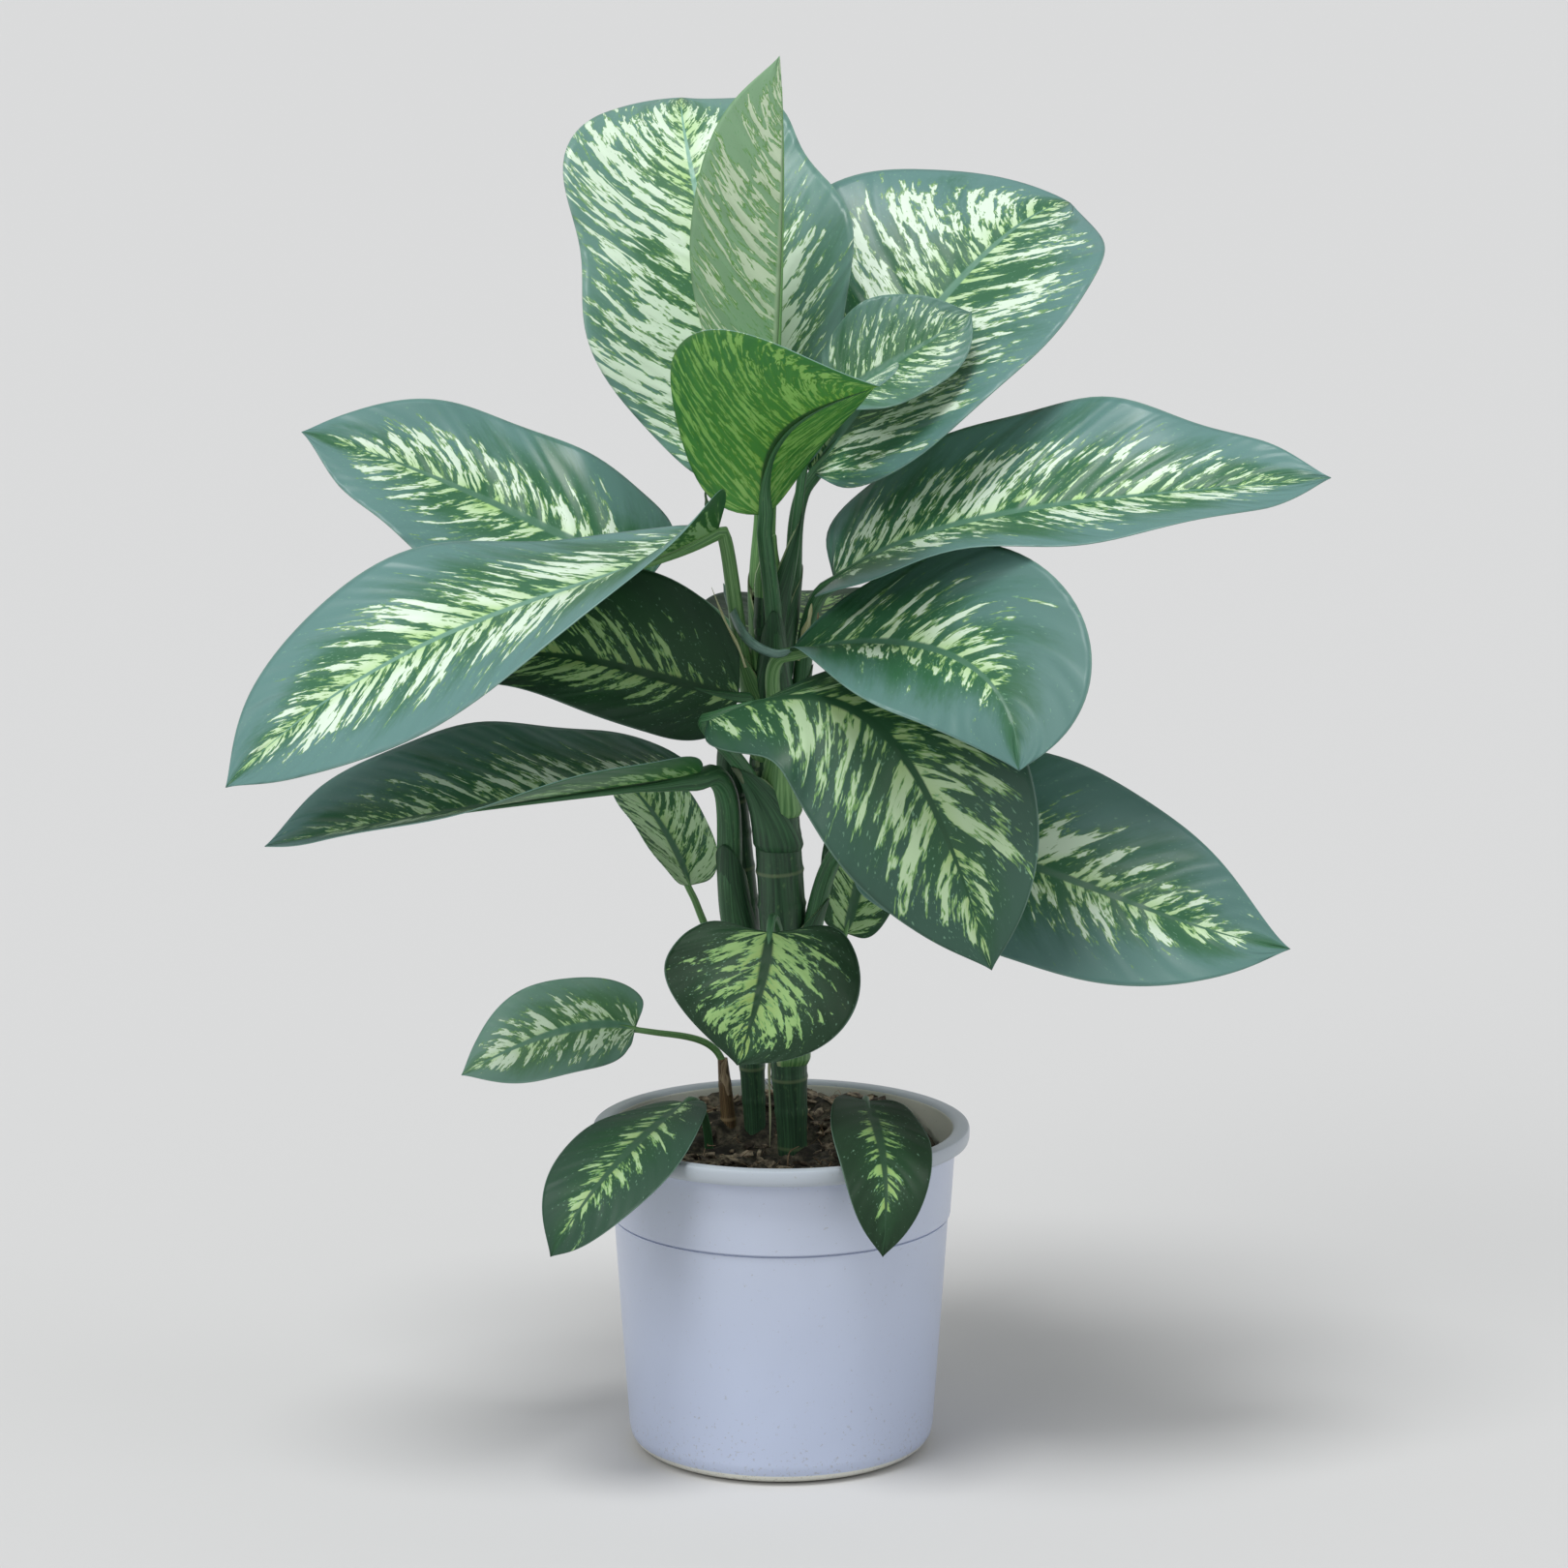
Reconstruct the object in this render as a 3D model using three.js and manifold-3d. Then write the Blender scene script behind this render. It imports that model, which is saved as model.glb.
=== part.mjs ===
// A potted dieffenbachia. Millimetres, +Z up: the pot stands on z = 0 and the plant's front faces -Y.
import * as THREE from "three";
import { mergeVertices } from "three/addons/utils/BufferGeometryUtils.js";
import Module from "manifold-3d";

const wasm = await Module();
wasm.setup();

// Clearance left between two pieces that touch.
const GAP = 0.3;

// Pot: radii and heights of its moulded profile.
const POT_HEIGHT = 210;
const RIM_RADIUS = 120;
const RIM_DEPTH = 11;
const COLLAR_TOP_RADIUS = 111;
const COLLAR_FOOT_RADIUS = 108;
const GROOVE_HEIGHT = 152;
const GROOVE_WIDTH = 1.6;
const GROOVE_DEPTH = 1.4;
const BODY_TOP_RADIUS = 107;
const BODY_FOOT_RADIUS = 97.5;
const FOOT_ROUND = 14;
const WALL = 3;
const POT_FACETS = 40;
const DRAIN_HOLES = 5;
const DRAIN_RADIUS = 5;
const DRAIN_CIRCLE_RADIUS = 62;

// Soil: mean height, roughness and the heap at the back right.
const SOIL_HEIGHT = 184;
const SOIL_ROUGHNESS = 2.2;
const SOIL_HEAP = { x: 62, y: 34, height: 9, radius: 42 };
const SOIL_BACK = { height: 20, from: 22, to: 90 };
const SOIL_FACETS = 30;
const SOIL_RINGS = 6;
const CHIP_COUNT = 22;
const CHIP_LENGTH = [7, 15];
const CHIP_SINK = 1.2;
const STALK_HOLE_DEPTH = 12;
const STALK_HOLE_WIDTH = 2;

// Leaves: thickness of the blade and the outline shared by all of them.
const BLADE_THICKNESS = 0.8;
const STEPS_ALONG = 11;
const COLUMNS = [-1, -0.55, -0.09, 0, 0.09, 0.55, 1];
const BASE_ROUNDNESS = 0.5;
const TIP_SHARPNESS = 0.9;
const WIDEST = BASE_ROUNDNESS / (BASE_ROUNDNESS + TIP_SHARPNESS);
const DRIP_TIP = { depth: 0.6, reach: 0.07 };
const LOBE_PEAK = 0.1;
const VEIN_BEND = 1.6;
const HALF_SHIFT = { ripple: 2.1, wave: 1.3 };
const END_CROWDING = 0.55;
const RIB_DEPTH = 0.75;
const STALK_SIDES = 6;
const STALK_STEPS = 7;
const STALK_ON_BLADE = 0.1;
const STALK_END_RADIUS = 1.2;
const STALK_DROP = 0.45;
const STALK_WIDENING = { foot: 1.15, top: 0.85 };
const STALK_RISE = 0.45;
const STALK_LEAD = 0.3;
const FOOT_OFFSET = 0.62;
const FOOT_LEAN = 0.3;
const SOCKET_STEPS = 5;
const SOCKET_REACH = 0.6;
const SOCKET_GAP = 2.2 * GAP;

const GREEN = { color: 0x2f6b3a, roughness: 0.38, metalness: 0 };
const YOUNG_GREEN = { color: 0x8fb45a, roughness: 0.42, metalness: 0 };
const STEM_GREEN = { color: 0x35553a, roughness: 0.5, metalness: 0 };
const SHOOT_BROWN = { color: 0x6d5a45, roughness: 0.7, metalness: 0 };
const POT_PLASTIC = { color: 0xd3d6e4, roughness: 0.35, metalness: 0 };
const POTTING_MIX = { color: 0x4a3527, roughness: 0.95, metalness: 0 };

// Canes: points of the axis with the radius at each. The lowest stretch stands upright in the soil.
const CANES = {
  cane_main: {
    axis: [
      [7, 22, 143], [7, 22, 192], [5, 20, 245], [1, 14, 340],
      [-4, 6, 430], [-6, 1, 500], [-8, -2, 562],
    ],
    radii: [9, 9.5, 12, 15, 14.5, 12.5, 8.5],
    look: STEM_GREEN,
  },
  cane_left: {
    axis: [[-17, 54, 143], [-17, 54, 192], [-19, 50, 240], [-24, 36, 335], [-29, 25, 400], [-32, 14, 455]],
    radii: [7, 7, 8.5, 10.5, 9.5, 6.5],
    look: STEM_GREEN,
  },
  shoot_left: {
    axis: [[-34, 60, 152], [-34, 60, 192], [-36, 59, 215], [-38, 58, 238]],
    radii: [5, 5, 4.6, 3.4],
    look: SHOOT_BROWN,
  },
};
const CANE_SIDES = 10;
const CANE_STEPS = 18;
const SCAR_SPACING = 23;
const SCAR_SWELL = 0.06;

// Leaves. spine: four points that the midrib passes through, from the stalk to the tip.
// face: the way the upper side looks, at the base and at the tip.
// right and left, seen on the upper side with the tip pointing away: how far each half is folded up from
// the midrib in degrees, at the base and at the tip, its curl, the lobe beside the stalk and its share of
// the half width. sweep: how far the veins lean toward the tip. taper above 1 narrows the base, and blunt
// below 1 rounds the tip. ripple and wave: size, count and start of the edge's in and out and of its up
// and down.
// footHeight and side: where the stalk leaves its cane. A leaf with no cane has its foot in the soil.
const LEAVES = [
  {
    name: "leaf_top_back",
    cane: "cane_main", footHeight: 514, side: [-0.7, 0.75], stalk: 5,
    spine: [[-13, 22, 616], [-30, 45, 698], [-54, 85, 796], [-64, 166, 850]],
    face: [[-0.12, -0.93, 0.35], [0, -0.55, 0.83]],
    width: 176, sweep: 0.08, taper: 1.15, blunt: 0.85, ripple: [0.07, 2.5, 0.22], wave: [4, 2.5, 0.1],
    right: { fold: [12, 5], curl: 9, lobe: 0.04, share: 0.96 },
    left: { fold: [14, 6], curl: 12, lobe: 0.05 },
  },
  {
    name: "leaf_spear",
    cane: "cane_main", footHeight: 560, side: [0, 0], stalk: 4, look: YOUNG_GREEN,
    spine: [[-6, -4, 617], [-2, -12, 702], [1, -20, 800], [-1, -22, 883]],
    face: [[-0.75, 0.66, 0], [-0.75, 0.66, 0]],
    width: 108, sweep: 0.12, taper: 1.6, wave: [1.5, 2, 0.3],
    right: { fold: [72, 42], curl: 14, lobe: 0 },
    left: { fold: [72, 42], curl: 14, lobe: 0 },
  },
  {
    name: "leaf_top_right",
    cane: "cane_main", footHeight: 510, side: [0.95, 0.35], stalk: 5.2,
    spine: [[20, 14, 624], [70, 38, 691], [130, 82, 756], [186, 138, 784]],
    face: [[-0.36, -0.72, 0.58], [-0.3, -0.82, 0.5]],
    width: 190, sweep: 0.03, blunt: 0.75, ripple: [0.03, 1.5, 0], wave: [3, 2.2, 0.6],
    right: { fold: [22, 10], curl: 4, lobe: 0.05, share: 1.05 },
    left: { fold: [2, 0], curl: 4, lobe: 0.05, share: 1.3 },
  },
  {
    name: "leaf_top_inner",
    cane: "cane_main", footHeight: 536, side: [1, -0.3], stalk: 3,
    spine: [[35, 2, 671], [60, 0, 689], [87, 0, 705], [118, 6, 725]],
    face: [[-0.42, -0.85, 0.3], [-0.42, -0.85, 0.3]],
    width: 86, sweep: 0.1, wave: [2, 2, 0.2],
    right: { fold: [45, 20], curl: 4, lobe: 0.05 },
    left: { fold: [5, 5], curl: 4, lobe: 0.05 },
  },
  {
    name: "leaf_top_cup",
    cane: "cane_main", footHeight: 488, side: [0.2, -1], stalk: 5.4,
    spine: [[-11, -20, 602], [-4, -42, 646], [20, -110, 676], [57, -190, 699]],
    face: [[-0.35, 0.55, 0.75], [-0.35, 0.55, 0.75]],
    width: 174, sweep: 0.1, taper: 1.4, wave: [2, 1.5, 0],
    right: { fold: [35, 30], curl: 25, lobe: 0.04 },
    left: { fold: [-6, 20], curl: 0, lobe: 0, share: 0.62 },
  },
  {
    name: "leaf_right_upper",
    cane: "cane_main", footHeight: 446, side: [1, 0], stalk: 5.6,
    spine: [[33, -8, 560], [115, -40, 600], [220, -60, 619], [335, -60, 630]],
    face: [[-0.15, -0.52, 0.85], [-0.15, -0.52, 0.85]],
    width: 158, sweep: 0.1, ripple: [0.07, 2.2, 0.99], wave: [4, 2.6, 0.4],
    right: { fold: [28, 20], curl: 0, lobe: 0.07 },
    left: { fold: [14, 12], curl: 0, lobe: 0.07 },
  },
  {
    name: "leaf_right_middle",
    cane: "cane_main", footHeight: 422, side: [0.4, -0.9], stalk: 5,
    spine: [[6, -36, 519], [64, -85, 532], [117, -145, 524], [140, -190, 472]],
    face: [[-0.3, -0.62, 0.72], [-0.2, -0.85, 0.3]],
    width: 142, sweep: 0.13, taper: 1.6, wave: [2, 2, 0.1],
    right: { fold: [58, 34], curl: 0, lobe: 0 },
    left: { fold: [10, 4], curl: 0, lobe: 0 },
  },
  {
    name: "leaf_front_hanging",
    cane: "cane_main", footHeight: 400, side: [-0.6, -0.8], stalk: 5, lead: 0.12,
    spine: [[-44, -82, 486], [32, -108, 500], [84, -146, 456], [126, -168, 347]],
    face: [[-0.3, -0.5, 0.8], [-0.35, -0.88, 0.3]],
    width: 134, sweep: 0.1, taper: 1.4, wave: [3, 2.4, 0.7],
    right: { fold: [0, 10], curl: 0, lobe: 0.1 },
    left: { fold: [-58, 8], curl: 0, lobe: 0, share: 0.95 },
  },
  {
    name: "leaf_right_lower",
    cane: "cane_main", footHeight: 300, side: [1, -0.25], stalk: 6,
    spine: [[55, -25, 400], [139, -60, 394], [222, -85, 368], [312, -95, 344]],
    face: [[0.05, -0.66, 0.75], [0.25, -0.75, 0.6]],
    width: 148, sweep: 0.05, wave: [2, 2.2, 0.3],
    right: { fold: [4, 4], curl: -4, lobe: 0.07 },
    left: { fold: [22, 14], curl: -4, lobe: 0.07 },
  },
  {
    name: "leaf_left_upper",
    cane: "cane_main", footHeight: 474, side: [-0.6, 0.8], stalk: 4.8,
    spine: [[-83, 60, 552], [-150, 80, 581], [-228, 95, 614], [-307, 95, 641]],
    face: [[0.1, -0.62, 0.78], [0.1, -0.62, 0.78]],
    width: 140, sweep: 0.1, ripple: [0.03, 2, 0.1], wave: [3, 2.3, 0.5],
    right: { fold: [6, 4], curl: 0, lobe: 0.07 },
    left: { fold: [6, 4], curl: 0, lobe: 0.07 },
  },
  {
    name: "leaf_left_front",
    cane: "cane_main", footHeight: 458, side: [-0.95, -0.35], stalk: 5, lead: 0.08,
    spine: [[-39, -20, 593], [-122, -75, 566], [-225, -120, 531], [-334, -130, 451]],
    face: [[-0.15, -0.45, 0.88], [-0.35, -0.7, 0.62]],
    width: 165, sweep: 0.1, wave: [3, 2.1, 0.2],
    right: { fold: [-18, 6], curl: 0, lobe: 0.07 },
    left: { fold: [66, 0], curl: 0, lobe: 0.07 },
  },
  {
    name: "leaf_left_inner",
    cane: "cane_left", footHeight: 432, side: [-0.8, -0.6], stalk: 4,
    spine: [[-26, -25, 490], [-94, -38, 508], [-171, -52, 519], [-264, -50, 484]],
    face: [[-0.1, -0.55, 0.83], [-0.1, -0.55, 0.83]],
    width: 130, sweep: 0.1, taper: 0.75, wave: [2, 2.2, 0.6],
    right: { fold: [58, 5], curl: 0, lobe: 0 },
    left: { fold: [-40, 24], curl: 0, lobe: 0, share: 0.7 },
  },
  {
    name: "leaf_left_lower",
    cane: "cane_left", footHeight: 325, side: [-0.7, -0.7], stalk: 8,
    spine: [[-51, -25, 440], [-123, -70, 437], [-211, -95, 428], [-314, -105, 410]],
    face: [[-0.05, -0.35, 0.93], [-0.05, -0.35, 0.93]],
    width: 146, sweep: 0.1, taper: 1.3, wave: [2, 2.4, 0.1],
    right: { fold: [10, 8], curl: 8, lobe: 0.07 },
    left: { fold: [52, 22], curl: 8, lobe: 0 },
  },
  {
    name: "leaf_left_pale",
    cane: "cane_left", footHeight: 262, side: [-1, 0.1], stalk: 2.6, look: YOUNG_GREEN,
    spine: [[-59, 50, 354], [-72, 62, 381], [-89, 72, 405], [-112, 80, 427]],
    face: [[0.7, -0.6, 0.3], [0.7, -0.6, 0.3]],
    width: 66, sweep: 0.1, wave: [1, 2, 0],
    right: { fold: [20, 15], curl: 0, lobe: 0.07 },
    left: { fold: [20, 15], curl: 0, lobe: 0.07 },
  },
  {
    name: "leaf_right_pale",
    cane: "cane_main", footHeight: 258, side: [1, 0.4], stalk: 2.6, look: YOUNG_GREEN,
    spine: [[41, 40, 325], [49, 50, 354], [52, 58, 382], [48, 70, 417]],
    face: [[0.3, -0.9, 0.2], [0.3, -0.9, 0.2]],
    width: 56, sweep: 0.1, wave: [1, 2, 0.5],
    right: { fold: [10, 5], curl: 0, lobe: 0.07 },
    left: { fold: [10, 5], curl: 0, lobe: 0.07 },
  },
  {
    name: "leaf_front_small",
    cane: "cane_main", footHeight: 284, side: [-0.1, -1], stalk: 3,
    spine: [[-7, -70, 349], [-11, -88, 326], [-18, -100, 300], [-27, -104, 273]],
    face: [[-0.05, -0.8, 0.6], [-0.05, -0.97, 0.25]],
    width: 122, sweep: 0.05, wave: [1.5, 1.5, 0.3],
    right: { fold: [4, 8], curl: -6, lobe: 0.16 },
    left: { fold: [4, 8], curl: -6, lobe: 0.16 },
  },
  {
    name: "leaf_low_left",
    cane: "shoot_left", footHeight: 228, side: [0, 0], stalk: 2.2,
    spine: [[-94, 45, 261], [-123, 40, 264], [-161, 30, 256], [-205, 25, 235]],
    face: [[0.05, -0.65, 0.76], [0.05, -0.65, 0.76]],
    width: 76, sweep: 0.05, wave: [1.5, 1.8, 0.2],
    right: { fold: [12, 6], curl: 0, lobe: 0.07 },
    left: { fold: [12, 6], curl: 0, lobe: 0.07 },
  },
  {
    name: "leaf_rim_left",
    foot: [-46, 30], stalk: 2.6,
    spine: [[-61, -22, 229], [-87, -80, 220], [-115, -122, 198], [-141, -134, 160]],
    face: [[-0.35, -0.72, 0.6], [-0.35, -0.72, 0.6]],
    width: 74, sweep: 0.1, taper: 1.4, wave: [1.2, 1.8, 0.6],
    right: { fold: [8, 6], curl: -6, lobe: 0.07 },
    left: { fold: [8, 6], curl: -6, lobe: 0.07 },
  },
  {
    name: "leaf_rim_right",
    foot: [58, 8], stalk: 2.4,
    spine: [[54, -35, 233], [61, -92, 222], [64, -127, 200], [62, -138, 161]],
    face: [[0.2, -0.85, 0.5], [0.2, -0.85, 0.5]],
    width: 62, sweep: 0.1, wave: [1.2, 1.8, 0.1],
    right: { fold: [10, 8], curl: -4, lobe: 0.07 },
    left: { fold: [10, 8], curl: -4, lobe: 0.07 },
  },
  {
    name: "leaf_back",
    cane: "cane_main", footHeight: 452, side: [0.1, 1], stalk: 4.6,
    spine: [[10, 35, 511], [18, 105, 515], [18, 175, 518], [14, 245, 517]],
    face: [[0, -0.15, 0.98], [0, -0.15, 0.98]],
    width: 150, sweep: 0.1, wave: [2, 2.2, 0.4],
    right: { fold: [10, 5], curl: -4, lobe: 0.07 },
    left: { fold: [10, 5], curl: -4, lobe: 0.07 },
  },
];

// A closed geometry as a solid: only its positions count, and shared corners are merged.
function solidOf(geometry) {
  const bare = new THREE.BufferGeometry();
  bare.setAttribute("position", geometry.getAttribute("position"));
  bare.setIndex(geometry.index);
  const merged = mergeVertices(bare, 1e-3);
  const index = merged.index.array;
  const kept = [];
  for (let i = 0; i < index.length; i += 3) {
    const [a, b, c] = [index[i], index[i + 1], index[i + 2]];
    if (a !== b && b !== c && c !== a) kept.push(a, b, c);
  }
  return new wasm.Manifold(
    new wasm.Mesh({
      numProp: 3,
      vertProperties: merged.getAttribute("position").array,
      triVerts: new Uint32Array(kept),
    }),
  );
}

// A solid back as a mesh that draws with flat facets.
function meshOf(name, solid, look) {
  const data = solid.getMesh();
  const geometry = new THREE.BufferGeometry();
  geometry.setAttribute("position", new THREE.BufferAttribute(data.vertProperties, 3));
  geometry.setIndex(new THREE.BufferAttribute(data.triVerts, 1));
  const mesh = new THREE.Mesh(geometry, new THREE.MeshStandardMaterial(look));
  mesh.name = name;
  return mesh;
}

// A round rod along a curve: a cylinder whose rings are moved to the curve. radiusAt takes the share of
// its length.
function rodGeometry(curve, radiusAt, sides, steps) {
  const geometry = new THREE.CylinderGeometry(1, 1, 1, sides, steps);
  const frames = curve.computeFrenetFrames(steps, false);
  const position = geometry.getAttribute("position");
  for (let i = 0; i < position.count; i += 1) {
    const step = Math.round((0.5 - position.getY(i)) * steps);
    const share = step / steps;
    const radius = radiusAt(share);
    const point = curve.getPointAt(share);
    point.addScaledVector(frames.normals[step], position.getX(i) * radius);
    point.addScaledVector(frames.binormals[step], position.getZ(i) * radius);
    position.setXYZ(i, point.x, point.y, point.z);
  }
  return geometry;
}

function rod(curve, radiusAt, sides, steps) {
  const solid = solidOf(rodGeometry(curve, radiusAt, sides, steps));
  if (solid.volume() > 0) return solid;
  const geometry = rodGeometry(curve, radiusAt, sides, steps);
  geometry.setIndex(Array.from(geometry.index.array).reverse());
  return solidOf(geometry);
}

const vector = (p) => new THREE.Vector3(...p);

// The cubic curve that passes through four points at equal shares of its parameter.
function curveThrough([a, b, c, d]) {
  const mix = (wa, wb, wc, wd) =>
    new THREE.Vector3()
      .addScaledVector(a, wa)
      .addScaledVector(b, wb)
      .addScaledVector(c, wc)
      .addScaledVector(d, wd);
  return new THREE.CubicBezierCurve3(a, mix(-5 / 6, 3, -1.5, 1 / 3), mix(1 / 3, -1.5, 3, -5 / 6), d);
}

// The leaf's frame at a distance x along the midrib: point, way to the tip, upper side and right side.
function frameAt(leaf, x) {
  const share = THREE.MathUtils.clamp(x / leaf.length, 0, 1);
  const point = leaf.midrib.getPointAt(share);
  const along = leaf.midrib.getTangentAt(share);
  point.addScaledVector(along, x - share * leaf.length);
  const up = leaf.faces[0].clone().lerp(leaf.faces[1], share);
  up.addScaledVector(along, -up.dot(along)).normalize();
  return { point, along, up, across: along.clone().cross(up), share };
}

// A point of the blade: t runs from the stalk to the tip along a vein's root, s from the left edge to
// the right.
function bladePoint(leaf, t, s) {
  const half = s < 0 ? leaf.left : leaf.right;
  const side = s < 0 ? -1 : 1;
  const reach = Math.abs(s);
  const taper = BASE_ROUNDNESS * (leaf.taper ?? 1);
  const point = TIP_SHARPNESS * (leaf.blunt ?? 1);
  const oval = Math.pow(t / WIDEST, taper) * Math.pow((1 - t) / (1 - WIDEST), point);
  const swell = oval * (1 - DRIP_TIP.depth * Math.exp((t - 1) / DRIP_TIP.reach));
  const [rippleSize, rippleCount, rippleStart] = leaf.ripple ?? [0, 1, 0];
  const ripplePhase = 2 * Math.PI * (rippleCount * t + rippleStart) + (s < 0 ? HALF_SHIFT.ripple : 0);
  const ripple = 1 + rippleSize * Math.sin(ripplePhase);
  const edgeAcross = (leaf.width / 2) * swell * (half.share ?? 1) * ripple;
  const lobe = half.lobe * (1 - t) * (t / LOBE_PEAK) * Math.exp(1 - t / LOBE_PEAK);
  const edgeAlong = leaf.sweep * 4 * t * (1 - t) - lobe;
  const x = leaf.length * (t + edgeAlong * Math.pow(reach, VEIN_BEND));
  const y = edgeAcross * reach;
  const frame = frameAt(leaf, x);
  const [foldBase, foldTip] = half.fold;
  const fold = THREE.MathUtils.degToRad(foldTip + (foldBase - foldTip) * (1 - frame.share) ** 2);
  const curl = THREE.MathUtils.degToRad(half.curl) / (leaf.width / 2);
  const bend = fold + curl * y;
  const outward = curl === 0 ? y * Math.cos(fold) : (Math.sin(bend) - Math.sin(fold)) / curl;
  const upward = curl === 0 ? y * Math.sin(fold) : (Math.cos(fold) - Math.cos(bend)) / curl;
  const [waveSize, waveCount, waveStart] = leaf.wave;
  const fade = Math.min(1, 6 * t) * Math.min(1, 5 * (1 - t));
  const wavePhase = 2 * Math.PI * ((waveCount * x) / leaf.length + waveStart);
  const wave = waveSize * reach * reach * fade * Math.sin(wavePhase + (s < 0 ? HALF_SHIFT.wave : 0));
  frame.point.addScaledVector(frame.across, side * outward);
  return frame.point.addScaledVector(frame.up, upward + wave);
}

// The way the upper side looks at a point of the blade.
function bladeNormal(leaf, t, s) {
  const step = 0.01;
  const up = frameAt(leaf, t * leaf.length).up;
  if (t <= 0 || t >= 1 || s === 0) return up;
  const ahead = bladePoint(leaf, Math.min(t + step, 1), s);
  const behind = bladePoint(leaf, Math.max(t - step, 0), s);
  const outward = bladePoint(leaf, t, s).sub(bladePoint(leaf, t, s * (1 - 2 * step)));
  const normal = ahead.sub(behind).cross(outward).normalize();
  return normal.dot(up) < 0 ? normal.negate() : normal;
}

// Even steps from 0 to 1 that crowd at both ends, where the outline turns most.
function crowdedAtEnds(even) {
  if (even === 0 || even === 1) return even;
  return even - (END_CROWDING * Math.sin(2 * Math.PI * even)) / (2 * Math.PI);
}

// How far the midrib stands out under the blade.
function ribDepth(leaf, t) {
  if (t === 0 || t === 1) return 0;
  return leaf.stalk * RIB_DEPTH * (1 - t) ** 1.3;
}

// The blade: one grid of points drawn on both faces with the same triangles, and an edge strip between them.
function bladeGeometry(leaf) {
  const columns = COLUMNS.length - 1;
  const row = STEPS_ALONG + 1;
  const sheet = new THREE.PlaneGeometry(1, 1, STEPS_ALONG, columns);
  const count = sheet.getAttribute("position").count;
  const points = [];
  for (const face of [1, -1]) {
    for (let i = 0; i < count; i += 1) {
      const t = crowdedAtEnds((i % row) / STEPS_ALONG);
      const s = COLUMNS[Math.floor(i / row)];
      const point = bladePoint(leaf, t, s);
      const rib = face < 0 && s === 0 ? ribDepth(leaf, t) : 0;
      point.addScaledVector(bladeNormal(leaf, t, s), (face * BLADE_THICKNESS) / 2 - rib);
      points.push(point.x, point.y, point.z);
    }
  }
  const front = Array.from(sheet.index.array);
  const index = [];
  for (let i = 0; i < front.length; i += 3) {
    index.push(front[i], front[i + 2], front[i + 1]);
    index.push(front[i] + count, front[i + 1] + count, front[i + 2] + count);
  }
  for (let i = 0; i < STEPS_ALONG; i += 1) {
    const last = columns * row + i;
    index.push(i, i + count, i + 1, i + 1, i + count, i + 1 + count);
    index.push(last, last + 1, last + count, last + 1, last + 1 + count, last + count);
  }
  const geometry = new THREE.BufferGeometry();
  geometry.setAttribute("position", new THREE.BufferAttribute(new Float32Array(points), 3));
  geometry.setIndex(index);
  return geometry;
}

function bladeSolid(leaf) {
  const geometry = bladeGeometry(leaf);
  const solid = solidOf(geometry);
  if (solid.volume() > 0) return solid;
  geometry.setIndex(Array.from(geometry.index.array).reverse());
  return solidOf(geometry);
}

function prepareLeaf(leaf) {
  const midrib = curveThrough(leaf.spine.map(vector));
  const faces = leaf.face.map((f) => vector(f).normalize());
  return { ...leaf, midrib, length: midrib.getLength(), faces };
}

function prepareCane(cane) {
  const axis = new THREE.CatmullRomCurve3(cane.axis.map(vector));
  const heights = cane.axis.map((p) => p[2]);
  const radiusAtHeight = (z) => {
    const above = heights.findIndex((h) => h >= z);
    const i = above < 0 ? heights.length - 1 : Math.max(above, 1);
    const share = THREE.MathUtils.clamp((z - heights[i - 1]) / (heights[i] - heights[i - 1]), 0, 1);
    return THREE.MathUtils.lerp(cane.radii[i - 1], cane.radii[i], share);
  };
  return { ...cane, axis, radiusAtHeight };
}

// The point of a cane's axis at a height.
function axisAtHeight(cane, z) {
  let low = 0;
  let high = 1;
  for (let i = 0; i < 30; i += 1) {
    const middle = (low + high) / 2;
    if (cane.axis.getPointAt(middle).z < z) low = middle;
    else high = middle;
  }
  return cane.axis.getPointAt(low);
}

// Where a stalk starts: inside its cane, off the axis toward its own side, or upright in the soil.
function stalkFoot(leaf, canes) {
  if (leaf.foot) return vector([...leaf.foot, SOIL_HEIGHT - STALK_HOLE_DEPTH]);
  const cane = canes[leaf.cane];
  const foot = axisAtHeight(cane, leaf.footHeight);
  const offset = cane.radiusAtHeight(leaf.footHeight) * FOOT_OFFSET;
  foot.x += leaf.side[0] * offset;
  foot.y += leaf.side[1] * offset;
  return foot;
}

// The stalk runs up from its foot, bends to the blade and runs out in the midrib under it.
function stalkCurve(leaf, canes) {
  const foot = stalkFoot(leaf, canes);
  const base = leaf.midrib.getPointAt(0);
  const span = foot.distanceTo(base);
  const rise = new THREE.Vector3(0, 0, 1);
  if (leaf.side) rise.set(leaf.side[0] * FOOT_LEAN, leaf.side[1] * FOOT_LEAN, 1).normalize();
  const lower = foot.clone().addScaledVector(rise, span * STALK_RISE);
  const lead = span * (leaf.lead ?? STALK_LEAD);
  const upper = base.clone().addScaledVector(leaf.midrib.getTangentAt(0), -lead);
  const stalk = new THREE.CubicBezierCurve3(foot, lower, upper, base);
  const points = stalk.getSpacedPoints(STALK_STEPS).slice(0, -1);
  for (const share of [0, STALK_ON_BLADE / 2, STALK_ON_BLADE]) {
    const frame = frameAt(leaf, share * leaf.length);
    points.push(frame.point.addScaledVector(frame.up, -leaf.stalk * STALK_DROP));
  }
  return { curve: new THREE.CatmullRomCurve3(points), stalkLength: stalk.getLength() };
}

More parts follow.
